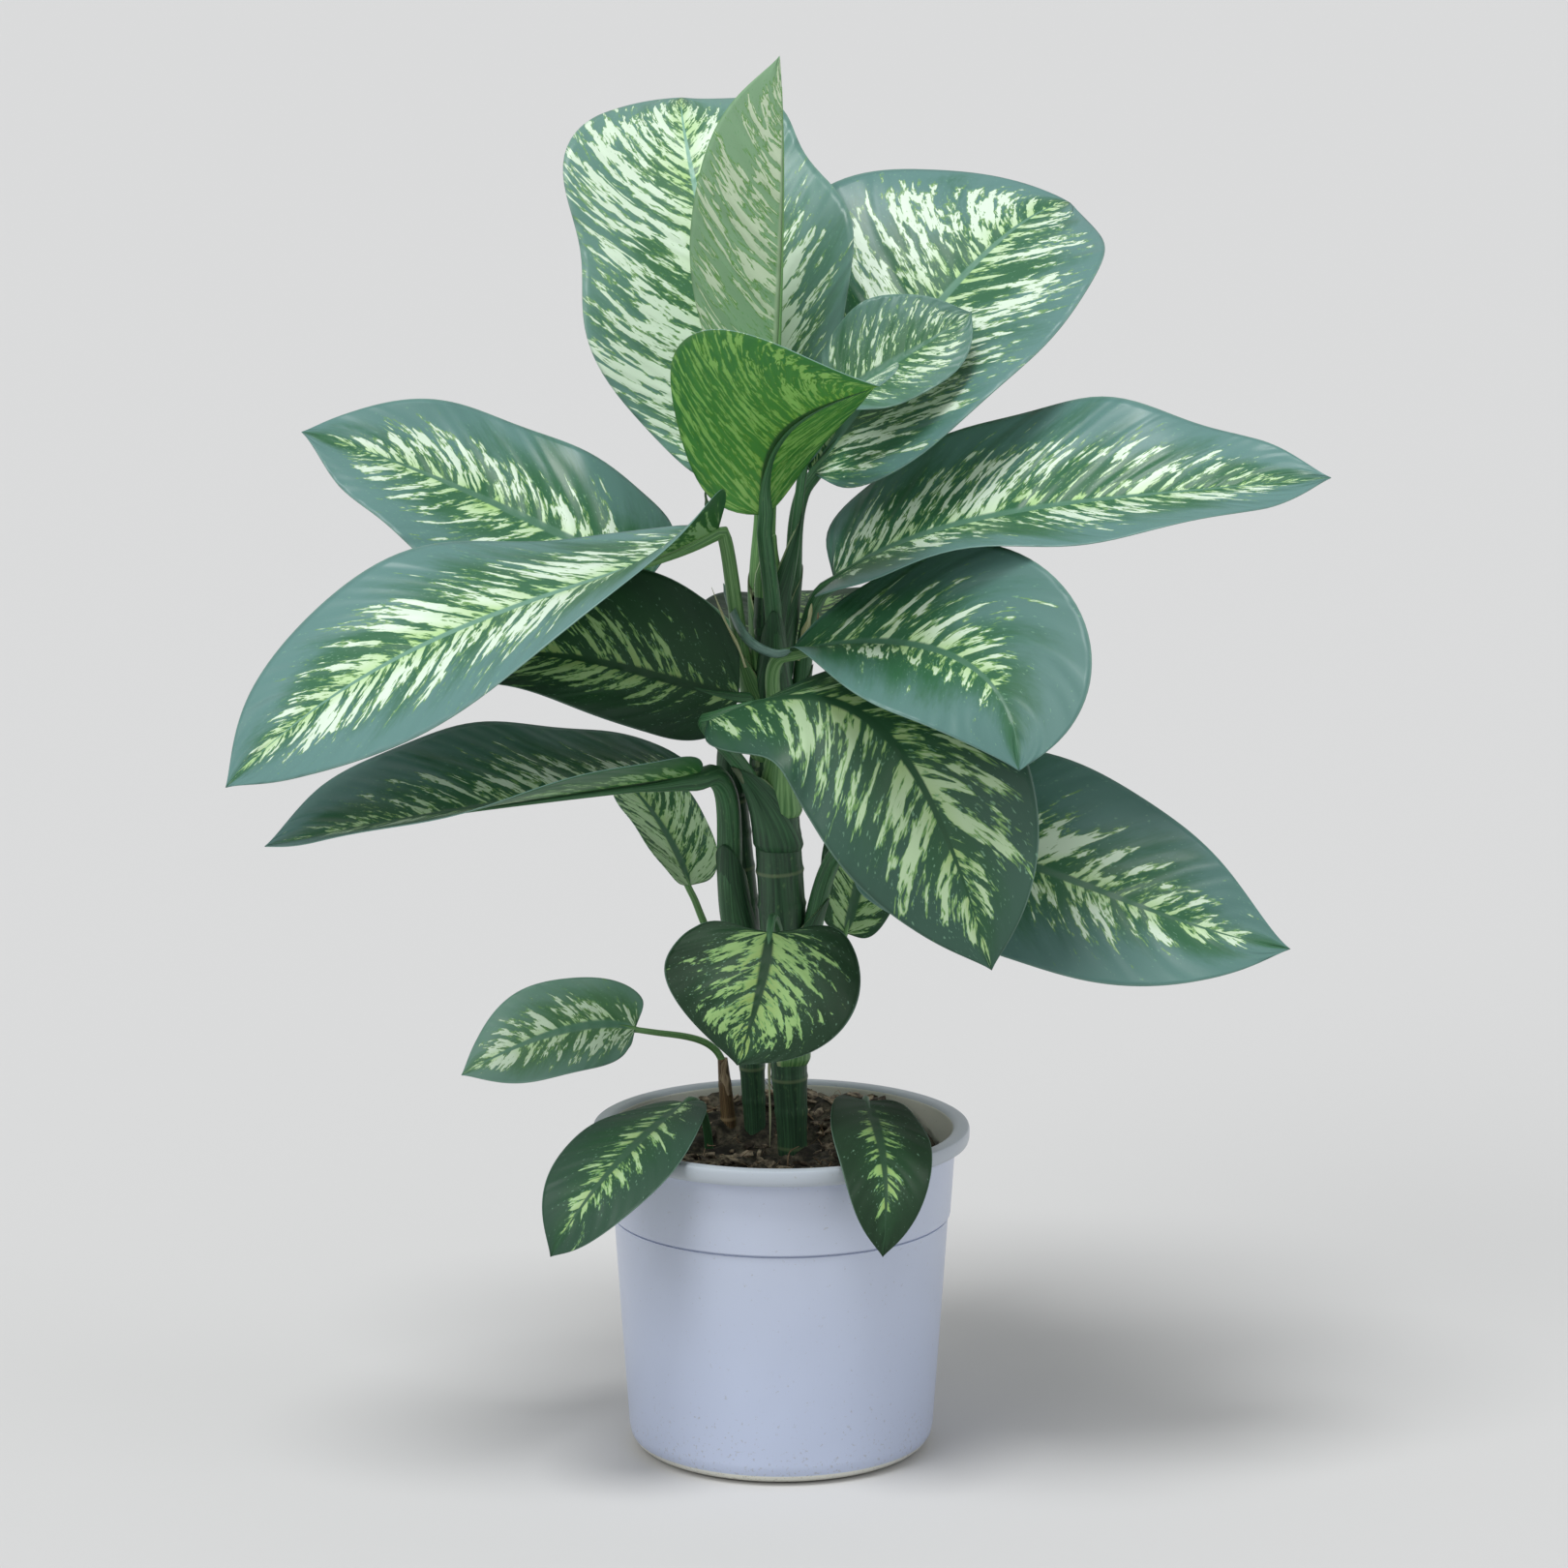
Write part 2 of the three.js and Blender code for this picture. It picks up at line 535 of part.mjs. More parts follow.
function stalkSolid(leaf, canes) {
  const { curve, stalkLength } = stalkCurve(leaf, canes);
  const turn = stalkLength / curve.getLength();
  const radiusAt = (share) => {
    const footRadius = leaf.stalk * STALK_WIDENING.foot;
    const topRadius = leaf.stalk * STALK_WIDENING.top;
    if (share < turn) return THREE.MathUtils.lerp(footRadius, topRadius, share / turn);
    return THREE.MathUtils.lerp(topRadius, STALK_END_RADIUS, (share - turn) / (1 - turn));
  };
  return rod(curve, radiusAt, STALK_SIDES, STALK_STEPS + 2);
}

// What a stalk needs cut out of its cane: its own lower stretch, wider by the gap and a little longer.
function socketSolid(leaf, canes) {
  const { curve } = stalkCurve(leaf, canes);
  const foot = curve.getPointAt(0);
  const start = foot.clone().addScaledVector(curve.getTangentAt(0), -GAP * 2);
  const points = [start, foot];
  for (let i = 1; i <= SOCKET_STEPS; i += 1) {
    points.push(curve.getPointAt((SOCKET_REACH * i) / SOCKET_STEPS));
  }
  const path = new THREE.CatmullRomCurve3(points);
  const radius = leaf.stalk * STALK_WIDENING.foot + SOCKET_GAP;
  return rod(path, () => radius, STALK_SIDES + 2, SOCKET_STEPS);
}

// A seeded draw between 0 and 1.
function seededDraws(seed) {
  let state = seed;
  return () => {
    state = (state * 1664525 + 1013904223) % 4294967296;
    return state / 4294967296;
  };
}

function potSolid() {
  const rimFoot = POT_HEIGHT - RIM_DEPTH;
  const grooveTop = GROOVE_HEIGHT + GROOVE_WIDTH / 2;
  const grooveFoot = GROOVE_HEIGHT - GROOVE_WIDTH / 2;
  const profile = new THREE.Path();
  profile.moveTo(0, 0);
  profile.lineTo(BODY_FOOT_RADIUS - FOOT_ROUND, 0);
  profile.quadraticCurveTo(BODY_FOOT_RADIUS - 1, 0, BODY_FOOT_RADIUS, FOOT_ROUND);
  profile.lineTo(BODY_TOP_RADIUS, grooveFoot - 0.6);
  profile.lineTo(BODY_TOP_RADIUS - GROOVE_DEPTH, grooveFoot);
  profile.lineTo(BODY_TOP_RADIUS - GROOVE_DEPTH, grooveTop);
  profile.lineTo(COLLAR_FOOT_RADIUS, grooveTop + 0.4);
  profile.lineTo(COLLAR_TOP_RADIUS, rimFoot);
  profile.lineTo(RIM_RADIUS - 2, rimFoot + 0.6);
  profile.lineTo(RIM_RADIUS - 0.8, rimFoot + 2);
  profile.lineTo(RIM_RADIUS, POT_HEIGHT - 2);
  profile.quadraticCurveTo(RIM_RADIUS, POT_HEIGHT, RIM_RADIUS - 2, POT_HEIGHT);
  profile.lineTo(COLLAR_TOP_RADIUS + 1, POT_HEIGHT);
  profile.lineTo(COLLAR_TOP_RADIUS - WALL + 1, POT_HEIGHT - 3);
  profile.lineTo(COLLAR_FOOT_RADIUS - WALL, grooveTop);
  profile.lineTo(BODY_TOP_RADIUS - WALL - GROOVE_DEPTH, grooveFoot);
  profile.lineTo(BODY_FOOT_RADIUS - WALL, FOOT_ROUND + 1);
  profile.quadraticCurveTo(BODY_FOOT_RADIUS - WALL - 1, WALL, BODY_FOOT_RADIUS - FOOT_ROUND, WALL);
  profile.lineTo(0, WALL);
  const outline = profile.getPoints(2);
  let pot = lathe(outline, POT_FACETS);
  for (let i = 0; i < DRAIN_HOLES; i += 1) {
    const turn = (2 * Math.PI * (i + 0.5)) / DRAIN_HOLES;
    const hole = new THREE.CylinderGeometry(DRAIN_RADIUS, DRAIN_RADIUS, 6 * WALL, 16);
    hole.rotateX(Math.PI / 2);
    hole.translate(DRAIN_CIRCLE_RADIUS * Math.cos(turn), DRAIN_CIRCLE_RADIUS * Math.sin(turn), 0);
    pot = pot.subtract(solidOf(hole));
  }
  return pot;
}

// A closed profile of radius and height turned round the Z axis.
function lathe(outline, facets) {
  const geometry = new THREE.LatheGeometry(outline, facets).rotateX(Math.PI / 2);
  const solid = solidOf(geometry);
  if (solid.volume() > 0) return solid;
  geometry.setIndex(Array.from(geometry.index.array).reverse());
  return solidOf(geometry);
}

// Inner radius of the pot at a height between its floor and the groove, and above the groove.
function innerRadius(z) {
  if (z > GROOVE_HEIGHT) {
    const share = (z - GROOVE_HEIGHT) / (POT_HEIGHT - GROOVE_HEIGHT);
    return THREE.MathUtils.lerp(COLLAR_FOOT_RADIUS, COLLAR_TOP_RADIUS, share) - WALL;
  }
  const share = (z - FOOT_ROUND) / (GROOVE_HEIGHT - FOOT_ROUND);
  return THREE.MathUtils.lerp(BODY_FOOT_RADIUS, BODY_TOP_RADIUS - GROOVE_DEPTH, share) - WALL;
}

function soilTop(x, y) {
  const broad = Math.sin(x * 0.21 + 1.3) * Math.cos(y * 0.17);
  const ridges = broad + 0.6 * Math.sin(x * 0.37 - y * 0.29 + 0.7);
  const heapReach = Math.hypot(x - SOIL_HEAP.x, y - SOIL_HEAP.y) / SOIL_HEAP.radius;
  const heap = SOIL_HEAP.height * Math.exp(-heapReach * heapReach);
  const bank = SOIL_BACK.height * THREE.MathUtils.smoothstep(y, SOIL_BACK.from, SOIL_BACK.to);
  return SOIL_HEIGHT + SOIL_ROUGHNESS * ridges + heap + bank;
}

function soilSolid() {
  const wallGap = 0.35;
  const floor = WALL + GAP;
  const outline = [new THREE.Vector2(0, floor)];
  outline.push(new THREE.Vector2(BODY_FOOT_RADIUS - FOOT_ROUND - 3, floor));
  outline.push(new THREE.Vector2(BODY_FOOT_RADIUS - WALL - 4, FOOT_ROUND * 0.6 + WALL));
  outline.push(new THREE.Vector2(innerRadius(FOOT_ROUND + 10) - wallGap - 0.4, FOOT_ROUND + 10));
  outline.push(new THREE.Vector2(innerRadius(GROOVE_HEIGHT) - wallGap - 0.6, GROOVE_HEIGHT - 3));
  outline.push(new THREE.Vector2(innerRadius(SOIL_HEIGHT - 6) - wallGap - 0.6, SOIL_HEIGHT - 6));
  const topRadius = innerRadius(SOIL_HEIGHT) - wallGap - 1.2;
  for (let ring = 0; ring < SOIL_RINGS; ring += 1) {
    outline.push(new THREE.Vector2(topRadius * (1 - ring / SOIL_RINGS), SOIL_HEIGHT));
  }
  outline.push(new THREE.Vector2(0, SOIL_HEIGHT));
  const geometry = new THREE.LatheGeometry(outline, SOIL_FACETS).rotateX(Math.PI / 2);
  const position = geometry.getAttribute("position");
  for (let i = 0; i < position.count; i += 1) {
    if (position.getZ(i) > SOIL_HEIGHT - 1) {
      const [x, y] = [position.getX(i), position.getY(i)];
      const settle = Math.hypot(x, y) > topRadius - 1 ? -3 : 0;
      position.setZ(i, soilTop(x, y) + settle);
    }
  }
  let soil = solidOf(geometry);
  if (soil.volume() < 0) {
    geometry.setIndex(Array.from(geometry.index.array).reverse());
    soil = solidOf(geometry);
  }
  return soil;
}

// Bark chips that lie half sunk in the soil, clear of the stems.
function barkChips(keepClear) {
  const draw = seededDraws(41);
  const chips = [];
  while (chips.length < CHIP_COUNT) {
    const turn = 2 * Math.PI * draw();
    const reach = 94 * Math.sqrt(draw());
    const [x, y] = [reach * Math.cos(turn), reach * Math.sin(turn)];
    const length = THREE.MathUtils.lerp(CHIP_LENGTH[0], CHIP_LENGTH[1], draw());
    const chip = new THREE.BoxGeometry(length, length * (0.35 + 0.3 * draw()), 3 + 2 * draw());
    chip.rotateX(0.9 * (draw() - 0.5));
    chip.rotateY(0.7 * (draw() - 0.5));
    chip.rotateZ(Math.PI * draw());
    chip.translate(x, y, soilTop(x, y) - CHIP_SINK);
    const clear = keepClear.every((p) => Math.hypot(p.x - x, p.y - y) > p.radius + length * 0.6);
    if (clear) chips.push(solidOf(chip));
  }
  return chips;
}

// A cane's radius with a small swell at each leaf scar.
function caneRadius(cane) {
  const height = cane.axis.getLength();
  return (share) => {
    const z = cane.axis.getPointAt(share).z;
    const scar = Math.max(0, Math.cos((2 * Math.PI * share * height) / SCAR_SPACING)) ** 4;
    return cane.radiusAtHeight(z) * (1 + SCAR_SWELL * scar);
  };
}

const canes = {};
const caneSolids = {};
for (const [name, cane] of Object.entries(CANES)) {
  canes[name] = prepareCane(cane);
  caneSolids[name] = rod(canes[name].axis, caneRadius(canes[name]), CANE_SIDES, CANE_STEPS);
}
const leaves = LEAVES.map(prepareLeaf);

// Holes in the soil for every stem that stands in it.
const standing = [];
for (const cane of Object.values(canes)) {
  const [x, y, z] = cane.axis.getPointAt(0);
  standing.push({ x, y, foot: z, radius: cane.radii[1] * (1 + SCAR_SWELL) });
}
for (const leaf of leaves.filter((item) => item.foot)) {
  const [x, y, z] = stalkFoot(leaf, canes);
  standing.push({ x, y, foot: z, radius: leaf.stalk * STALK_HOLE_WIDTH });
}
let soil = soilSolid();
for (const chip of barkChips(standing)) {
  soil = soil.add(chip);
}
for (const stem of standing) {
  const depth = SOIL_HEIGHT + 30 - stem.foot + GAP;
  const hole = new THREE.CylinderGeometry(stem.radius + GAP, stem.radius + GAP, depth, 18);
  hole.rotateX(Math.PI / 2);
  hole.translate(stem.x, stem.y, stem.foot - GAP + depth / 2);
  soil = soil.subtract(solidOf(hole));
}

const plant = new THREE.Group();
plant.add(meshOf("pot", potSolid(), POT_PLASTIC));
plant.add(meshOf("soil", soil, POTTING_MIX));
for (const leaf of leaves) {
  const solid = bladeSolid(leaf).add(stalkSolid(leaf, canes));
  plant.add(meshOf(leaf.name, solid, leaf.look ?? GREEN));
  if (leaf.cane) caneSolids[leaf.cane] = caneSolids[leaf.cane].subtract(socketSolid(leaf, canes));
}
for (const [name, solid] of Object.entries(caneSolids)) {
  plant.add(meshOf(name, solid, canes[name].look));
}

export default plant;
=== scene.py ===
import math
import random

import bmesh
import bpy
from mathutils import Euler, Matrix, Vector, noise


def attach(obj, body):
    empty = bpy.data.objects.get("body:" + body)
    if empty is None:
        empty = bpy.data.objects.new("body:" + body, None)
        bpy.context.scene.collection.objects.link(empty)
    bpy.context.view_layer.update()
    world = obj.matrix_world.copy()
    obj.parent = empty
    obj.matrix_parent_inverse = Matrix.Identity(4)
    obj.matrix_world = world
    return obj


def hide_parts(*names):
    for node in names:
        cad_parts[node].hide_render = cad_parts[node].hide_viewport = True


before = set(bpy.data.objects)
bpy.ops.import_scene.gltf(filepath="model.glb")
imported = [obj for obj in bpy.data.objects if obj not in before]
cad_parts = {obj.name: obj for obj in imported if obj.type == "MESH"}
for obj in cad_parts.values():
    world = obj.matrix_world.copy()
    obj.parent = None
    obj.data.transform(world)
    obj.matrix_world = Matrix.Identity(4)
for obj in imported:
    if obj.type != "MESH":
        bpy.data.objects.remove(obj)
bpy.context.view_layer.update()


# Camera
# The plant is seen from the front, a little from above, by a long lens three metres away.
camera_lens = bpy.data.cameras.new("camera")
camera_lens.sensor_width = 36
camera_lens.lens = 111.4
camera_lens.clip_end = 300
camera = bpy.data.objects.new("camera", camera_lens)
camera.location = (0.0018, -3.0, 0.98)
camera.rotation_euler = (math.radians(90 - 10.4), 0, 0)
bpy.context.collection.objects.link(camera)
bpy.context.scene.camera = camera
bpy.context.scene.view_settings.view_transform = "Standard"


# Floor and studio light
# A pale matt floor without an edge under even studio air. The main soft light shines steeply down from
# above the front, so the upper leaves shade the lower ones. Weaker lights stand at the left and right.
def linear(code):
    """An sRGB hex colour as linear numbers."""
    numbers = []
    for start in (1, 3, 5):
        value = int(code[start:start + 2], 16) / 255
        numbers.append(value / 12.92 if value <= 0.04045 else ((value + 0.055) / 1.055) ** 2.4)
    return (*numbers, 1.0)


def add(material, kind, inputs=None, **settings):
    """Adds a shader node. An input is a value, a hex colour, an output, or a node for its first output."""
    made = material.node_tree.nodes.new("ShaderNode" + kind)
    for key, value in settings.items():
        setattr(made, key, value)
    for key, value in (inputs or {}).items():
        if isinstance(value, str):
            value = linear(value)
        if isinstance(value, bpy.types.Node):
            value = next(output for output in value.outputs if output.enabled)
        if isinstance(value, bpy.types.NodeSocket):
            material.node_tree.links.new(value, made.inputs[key])
        else:
            made.inputs[key].default_value = value
    return made


def start_material(name):
    material = bpy.data.materials.new(name)
    material.use_nodes = True
    material.node_tree.nodes.clear()
    return material


def piece_from(mesh, name, *materials):
    """Turns a bmesh into an object at the origin, smooth shaded, in its materials."""
    data = bpy.data.meshes.new(name)
    mesh.to_mesh(data)
    mesh.free()
    for polygon in data.polygons:
        polygon.use_smooth = True
    for material in materials:
        data.materials.append(material)
    made = bpy.data.objects.new(name, data)
    bpy.context.collection.objects.link(made)
    return made


floor_paint = start_material("matt_studio_floor")
floor_coat = add(floor_paint, "BsdfPrincipled", {
    "Base Color": "#C9C8C7",
    "Roughness": 0.9,
    "Specular IOR Level": 0.1,
})
add(floor_paint, "OutputMaterial", {"Surface": floor_coat})
floor_mesh = bmesh.new()
bmesh.ops.create_grid(floor_mesh, x_segments=1, y_segments=1, size=120)
floor = piece_from(floor_mesh, "floor", floor_paint)

sky = bpy.data.worlds.new("studio_air")
sky.use_nodes = True
sky.node_tree.nodes["Background"].inputs["Color"].default_value = linear("#F4F6F8")
sky.node_tree.nodes["Background"].inputs["Strength"].default_value = 0.55
bpy.context.scene.world = sky


def soft_light(name, place, spread, strength, tint):
    """A far broad light that shines from a place toward the plant, as even on the floor as on it."""
    lamp = bpy.data.lights.new(name, "SUN")
    lamp.angle = math.radians(spread)
    lamp.energy = strength
    lamp.color = linear(tint)[:3]
    made = bpy.data.objects.new(name, lamp)
    made.location = place
    made.rotation_euler = (-Vector(place)).to_track_quat("-Z", "Y").to_euler()
    bpy.context.collection.objects.link(made)


soft_light("ceiling_light", (-0.35, -0.75, 2.5), 22, 1.9, "#FCFEFF")
soft_light("front_left_light", (-1.8, -1.9, 1.9), 36, 0.65, "#FDFEFF")
soft_light("right_light", (2.4, -0.8, 1.3), 26, 0.3, "#F4F8FF")


# Pot
# A 24 cm nursery pot, injection moulded in pale blue-grey polypropylene: a rolled rim, a collar that
# ends in a shadow groove and a slightly tapered body on a rounded foot with five drain holes.
# Radius and height, from the middle of the base up the outside and down the inside
pot_outline_mm = [
    (0, 0), (82, 0), (86.5, 0.4), (90.5, 1.8), (94, 4.6), (96.4, 8.8), (97.5, 14),
    (102.2, 83), (106.6, 150.6), (107, 151.2), (105.6, 151.3), (105.6, 152.7), (107.9, 152.9),
    (108.1, 153.6), (109.6, 177), (111, 198.6), (112, 199.2), (118, 199.6), (119.2, 200.4),
    (119.9, 202.5), (120, 205), (120, 207.6), (119.4, 209.2), (118, 210), (113, 210),
    (111.2, 209.6), (109.8, 208.6), (109, 207), (106, 160), (105, 152.8), (102.6, 151.2),
    (98.6, 83), (94.6, 15), (93.2, 10), (90.6, 6.2), (87, 3.8), (82, 3), (0, 3),
]
pot_steps = 144
drain_holes = 5
drain_circle_mm = 62
drain_radius_mm = 5
wall_lean = 0.0715
wall_middle_m = 0.09468


def finish_material(material, colour, height, strength, distance, surface):
    """Gives a material its relief, its surface values and its output."""
    relief = add(material, "Bump", {"Height": height, "Strength": strength, "Distance": distance})
    body = add(material, "BsdfPrincipled", {"Base Color": colour, "Normal": relief, **surface})
    add(material, "OutputMaterial", {"Surface": body})
    return material


def stretched_noise(material, place, scale, inputs, offset=(0.0, 0.0, 0.0)):
    """Noise with a scale of its own for each axis, in marks per metre or per turn."""
    stretched = add(material, "Mapping", {"Vector": place, "Scale": scale, "Location": offset})
    return add(material, "TexNoise", {"Vector": stretched, "Scale": 1.0, **inputs})


def pot_wall_material():
    """Moulded polypropylene: smooth, soft gloss, a trace of flow waves and dry water marks."""
    plastic = start_material("injection_moulded_polypropylene")
    place = add(plastic, "TexCoord").outputs["Object"]
    parts = add(plastic, "SeparateXYZ", {"Vector": place})
    # The body is a shade bluer toward the foot and paler at the collar and the rim.
    height = add(plastic, "MapRange", {
        "Value": parts.outputs["Z"], "From Min": 0.02, "From Max": 0.2,
    }, interpolation_type="SMOOTHSTEP")
    shade = add(plastic, "Mix", {0: height, 6: "#BDC7DE", 7: "#C4CCDE"}, data_type="RGBA")
    # The rim is painted a little greyer and darker: painted shade, standing in for the shade the rim band
    # lies in.
    painted_rim_shade = add(plastic, "MapRange", {
        "Value": parts.outputs["Z"], "From Min": 0.1985, "From Max": 0.2,
    })
    # The inner face is painted a warmer, lighter grey: painted light, standing in for the light the leaves
    # and the mix reflect onto it. It lies inside a cone halfway through the wall.
    flat = add(plastic, "VectorMath", {0: place, 1: (1.0, 1.0, 0.0)}, operation="MULTIPLY")
    off_axis = add(plastic, "VectorMath", {0: flat}, operation="LENGTH")
    off_cone = add(plastic, "Math", {
        0: parts.outputs["Z"], 1: -wall_lean, 2: off_axis,
    }, operation="MULTIPLY_ADD")
    painted_inner_light = add(plastic, "MapRange", {
        "Value": off_cone, "From Min": wall_middle_m, "From Max": wall_middle_m - 0.0001,
    })
    # Broad cloudiness of the moulding, about 60 mm across.
    cloud = add(plastic, "TexNoise", {"Vector": place, "Scale": 16.0, "Detail": 2.0})
    cloud_share = add(plastic, "MapRange", {
        "Value": cloud, "From Min": 0.35, "From Max": 0.7, "To Max": 0.16,
    })
    # Dried drops and dust gather low on the wall: flecks of 1 to 3 mm.
    flecks = add(plastic, "TexNoise", {
        "Vector": place, "Scale": 420.0, "Detail": 3.0, "Roughness": 0.6,
    })
    low = add(plastic, "MapRange", {
        "Value": parts.outputs["Z"], "From Min": 0.05, "From Max": 0.0, "To Max": 0.1,
    })
    dirty = add(plastic, "Math", {0: flecks, 1: low}, operation="ADD")
    dirt_share = add(plastic, "MapRange", {
        "Value": dirty, "From Min": 0.66, "From Max": 0.74, "To Max": 0.4,
    })
    colour = shade
    # The rim's tone is painted shade and the inner face's is painted light; the cloudiness and the dirt are
    # the plastic's own.
    for share, tone in (
        (painted_rim_shade, "#B2BAC2"), (painted_inner_light, "#E2E2D6"), (cloud_share, "#A9B1C6"), (dirt_share, "#8D8676"),
    ):
        colour = add(plastic, "Mix", {0: share, 6: colour, 7: tone}, data_type="RGBA")
    # Fine vertical draw marks, a millimetre apart, too shallow to feel.
    draw_marks = stretched_noise(plastic, place, (900.0, 900.0, 14.0), {"Detail": 2.0})
    gloss = add(plastic, "MapRange", {"Value": draw_marks, "To Min": 0.26, "To Max": 0.38})
    return finish_material(plastic, colour, draw_marks, 0.12, 0.0002, {
        "Roughness": gloss,
        "IOR": 1.49,
        "Subsurface Weight": 0.08,
        "Subsurface Radius": (0.004, 0.004, 0.005),
    })


pot_mesh = bmesh.new()
outline = [pot_mesh.verts.new((radius / 1000, 0, height / 1000)) for radius, height in pot_outline_mm]
outline_edges = [pot_mesh.edges.new(pair) for pair in zip(outline, outline[1:])]
bmesh.ops.spin(
    pot_mesh, geom=outline + outline_edges, cent=(0, 0, 0), axis=(0, 0, 1),
    angle=2 * math.pi, steps=pot_steps, use_merge=True, use_duplicate=False,
)
bmesh.ops.remove_doubles(pot_mesh, verts=pot_mesh.verts, dist=1e-6)
bmesh.ops.recalc_face_normals(pot_mesh, faces=pot_mesh.faces)
pot_wall = piece_from(pot_mesh, "pot_wall", pot_wall_material())

drill_mesh = bmesh.new()
for hole in range(drain_holes):
    turn = 2 * math.pi * (hole + 0.5) / drain_holes
    spot = Vector((math.cos(turn), math.sin(turn), 0)) * (drain_circle_mm / 1000)
    bmesh.ops.create_cone(
        drill_mesh, cap_ends=True, segments=32, radius1=drain_radius_mm / 1000,
        radius2=drain_radius_mm / 1000, depth=0.02, matrix=Matrix.Translation(spot),
    )
drill = piece_from(drill_mesh, "drill")
drilling = pot_wall.modifiers.new("drain_holes", "BOOLEAN")
drilling.object = drill
drilling.operation = "DIFFERENCE"
drilling.solver = "EXACT"
seen = bpy.context.evaluated_depsgraph_get()
drilled = bpy.data.meshes.new_from_object(pot_wall.evaluated_get(seen))
pot_wall.modifiers.clear()
pot_wall.data = drilled
bpy.data.objects.remove(drill)
crease = pot_wall.modifiers.new("crisp_edges", "WEIGHTED_NORMAL")
crease.keep_sharp = True
for edge in pot_wall.data.edges:
    edge.use_edge_sharp = False
pot_wall.data.set_sharp_from_angle(angle=math.radians(38))
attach(pot_wall, "root")
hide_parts("pot")


# Potting mix
# Dark peat with composted bark, banked up toward the back where it was topped up. The stems
# stand in it.
soil_height_mm = 184
soil_reach_mm = 104.9
soil_edge_mm = 2.5
soil_edge_drop_mm = 3
soil_foot_height_mm = 150
soil_foot_share = 0.965


def soil_level(x, y):
    """Height of the mix in mm at a place in mm: ridges, a heap, the bank at the back and crumbs."""
    broad = math.sin(x * 0.21 + 1.3) * math.cos(y * 0.17) + 0.6 * math.sin(x * 0.37 - y * 0.29 + 0.7)
    heap = 9 * math.exp(-((x - 62) ** 2 + (y - 34) ** 2) / 42 ** 2)
    share = min(max((y - 22) / 68, 0), 1)
    bank = 20 * share * share * (3 - 2 * share)
    crumbs = 1.6 * noise.noise(Vector((x, y, 0)) / 7) + 0.9 * noise.noise(Vector((x, y, 9)) / 3)
    return soil_height_mm + 2.2 * broad + heap + bank + crumbs


def potting_mix_material(name, dark, pale, grain):
    """Moist peat and bark: matt, dark, with a paler fibre or crumb here and there."""
    mix = start_material(name)
    place = add(mix, "TexCoord").outputs["Object"]
    crumbs = add(mix, "TexNoise", {"Vector": place, "Scale": grain, "Detail": 5.0, "Roughness": 0.65})
    patches = add(mix, "TexNoise", {"Vector": place, "Scale": grain / 5, "Detail": 2.0})
    both = add(mix, "Math", {0: crumbs, 1: patches}, operation="MULTIPLY")
    share = add(mix, "MapRange", {
        "Value": both, "From Min": 0.16, "From Max": 0.4,
    }, interpolation_type="SMOOTHSTEP")
    colour = add(mix, "Mix", {0: share, 6: dark, 7: pale}, data_type="RGBA")
    return finish_material(mix, colour, crumbs, 0.7, 0.0015, {"Roughness": 0.86, "Specular IOR Level": 0.3})


soil_mesh = bmesh.new()
bmesh.ops.create_circle(soil_mesh, cap_ends=True, cap_tris=True, segments=96, radius=soil_reach_mm / 1000)
bmesh.ops.subdivide_edges(
    soil_mesh, edges=[e for e in soil_mesh.edges if not e.is_boundary], cuts=40, use_grid_fill=True,
)
for vertex in soil_mesh.verts:
    level = soil_level(vertex.co.x * 1000, vertex.co.y * 1000) / 1000
    at_wall = vertex.co.length > soil_reach_mm / 1000 - soil_edge_mm / 1000
    vertex.co.z = level - (soil_edge_drop_mm / 1000 if at_wall else 0)
rim_edges = [edge for edge in soil_mesh.edges if edge.is_boundary]
side = bmesh.ops.extrude_edge_only(soil_mesh, edges=rim_edges)
for vertex in [item for item in side["geom"] if isinstance(item, bmesh.types.BMVert)]:
    vertex.co.z = soil_foot_height_mm / 1000
    vertex.co.xy *= soil_foot_share
under = [edge for edge in soil_mesh.edges if edge.is_boundary]
bmesh.ops.holes_fill(soil_mesh, edges=under)
bmesh.ops.recalc_face_normals(soil_mesh, faces=soil_mesh.faces)
peat = piece_from(soil_mesh, "peat_surface", potting_mix_material("moist_peat", "#27251F", "#6E6656", 260.0))
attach(peat, "root")
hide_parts("soil")


# Bark and coir
# Flakes of composted pine bark, 5 to 18 mm long, short coconut fibres and a few twigs lie on the peat.
flake_count = 520
fibre_count = 150
litter_reach_mm = 98
# Place and clear radius of each stem and stalk that stands in the mix
stem_spots_mm = [(7, 22, 15), (-17, 54, 12), (-34, 60, 9), (-46, 30, 7), (58, 8, 7)]


def open_spot(draws, clearance):
    """A place on the mix that no stem stands on."""
    while True:
        turn = draws.uniform(0, 2 * math.pi)
        reach = litter_reach_mm * math.sqrt(draws.random())
        x, y = reach * math.cos(turn), reach * math.sin(turn)
        if all(math.hypot(x - a, y - b) > radius + clearance for a, b, radius in stem_spots_mm):
            return x, y


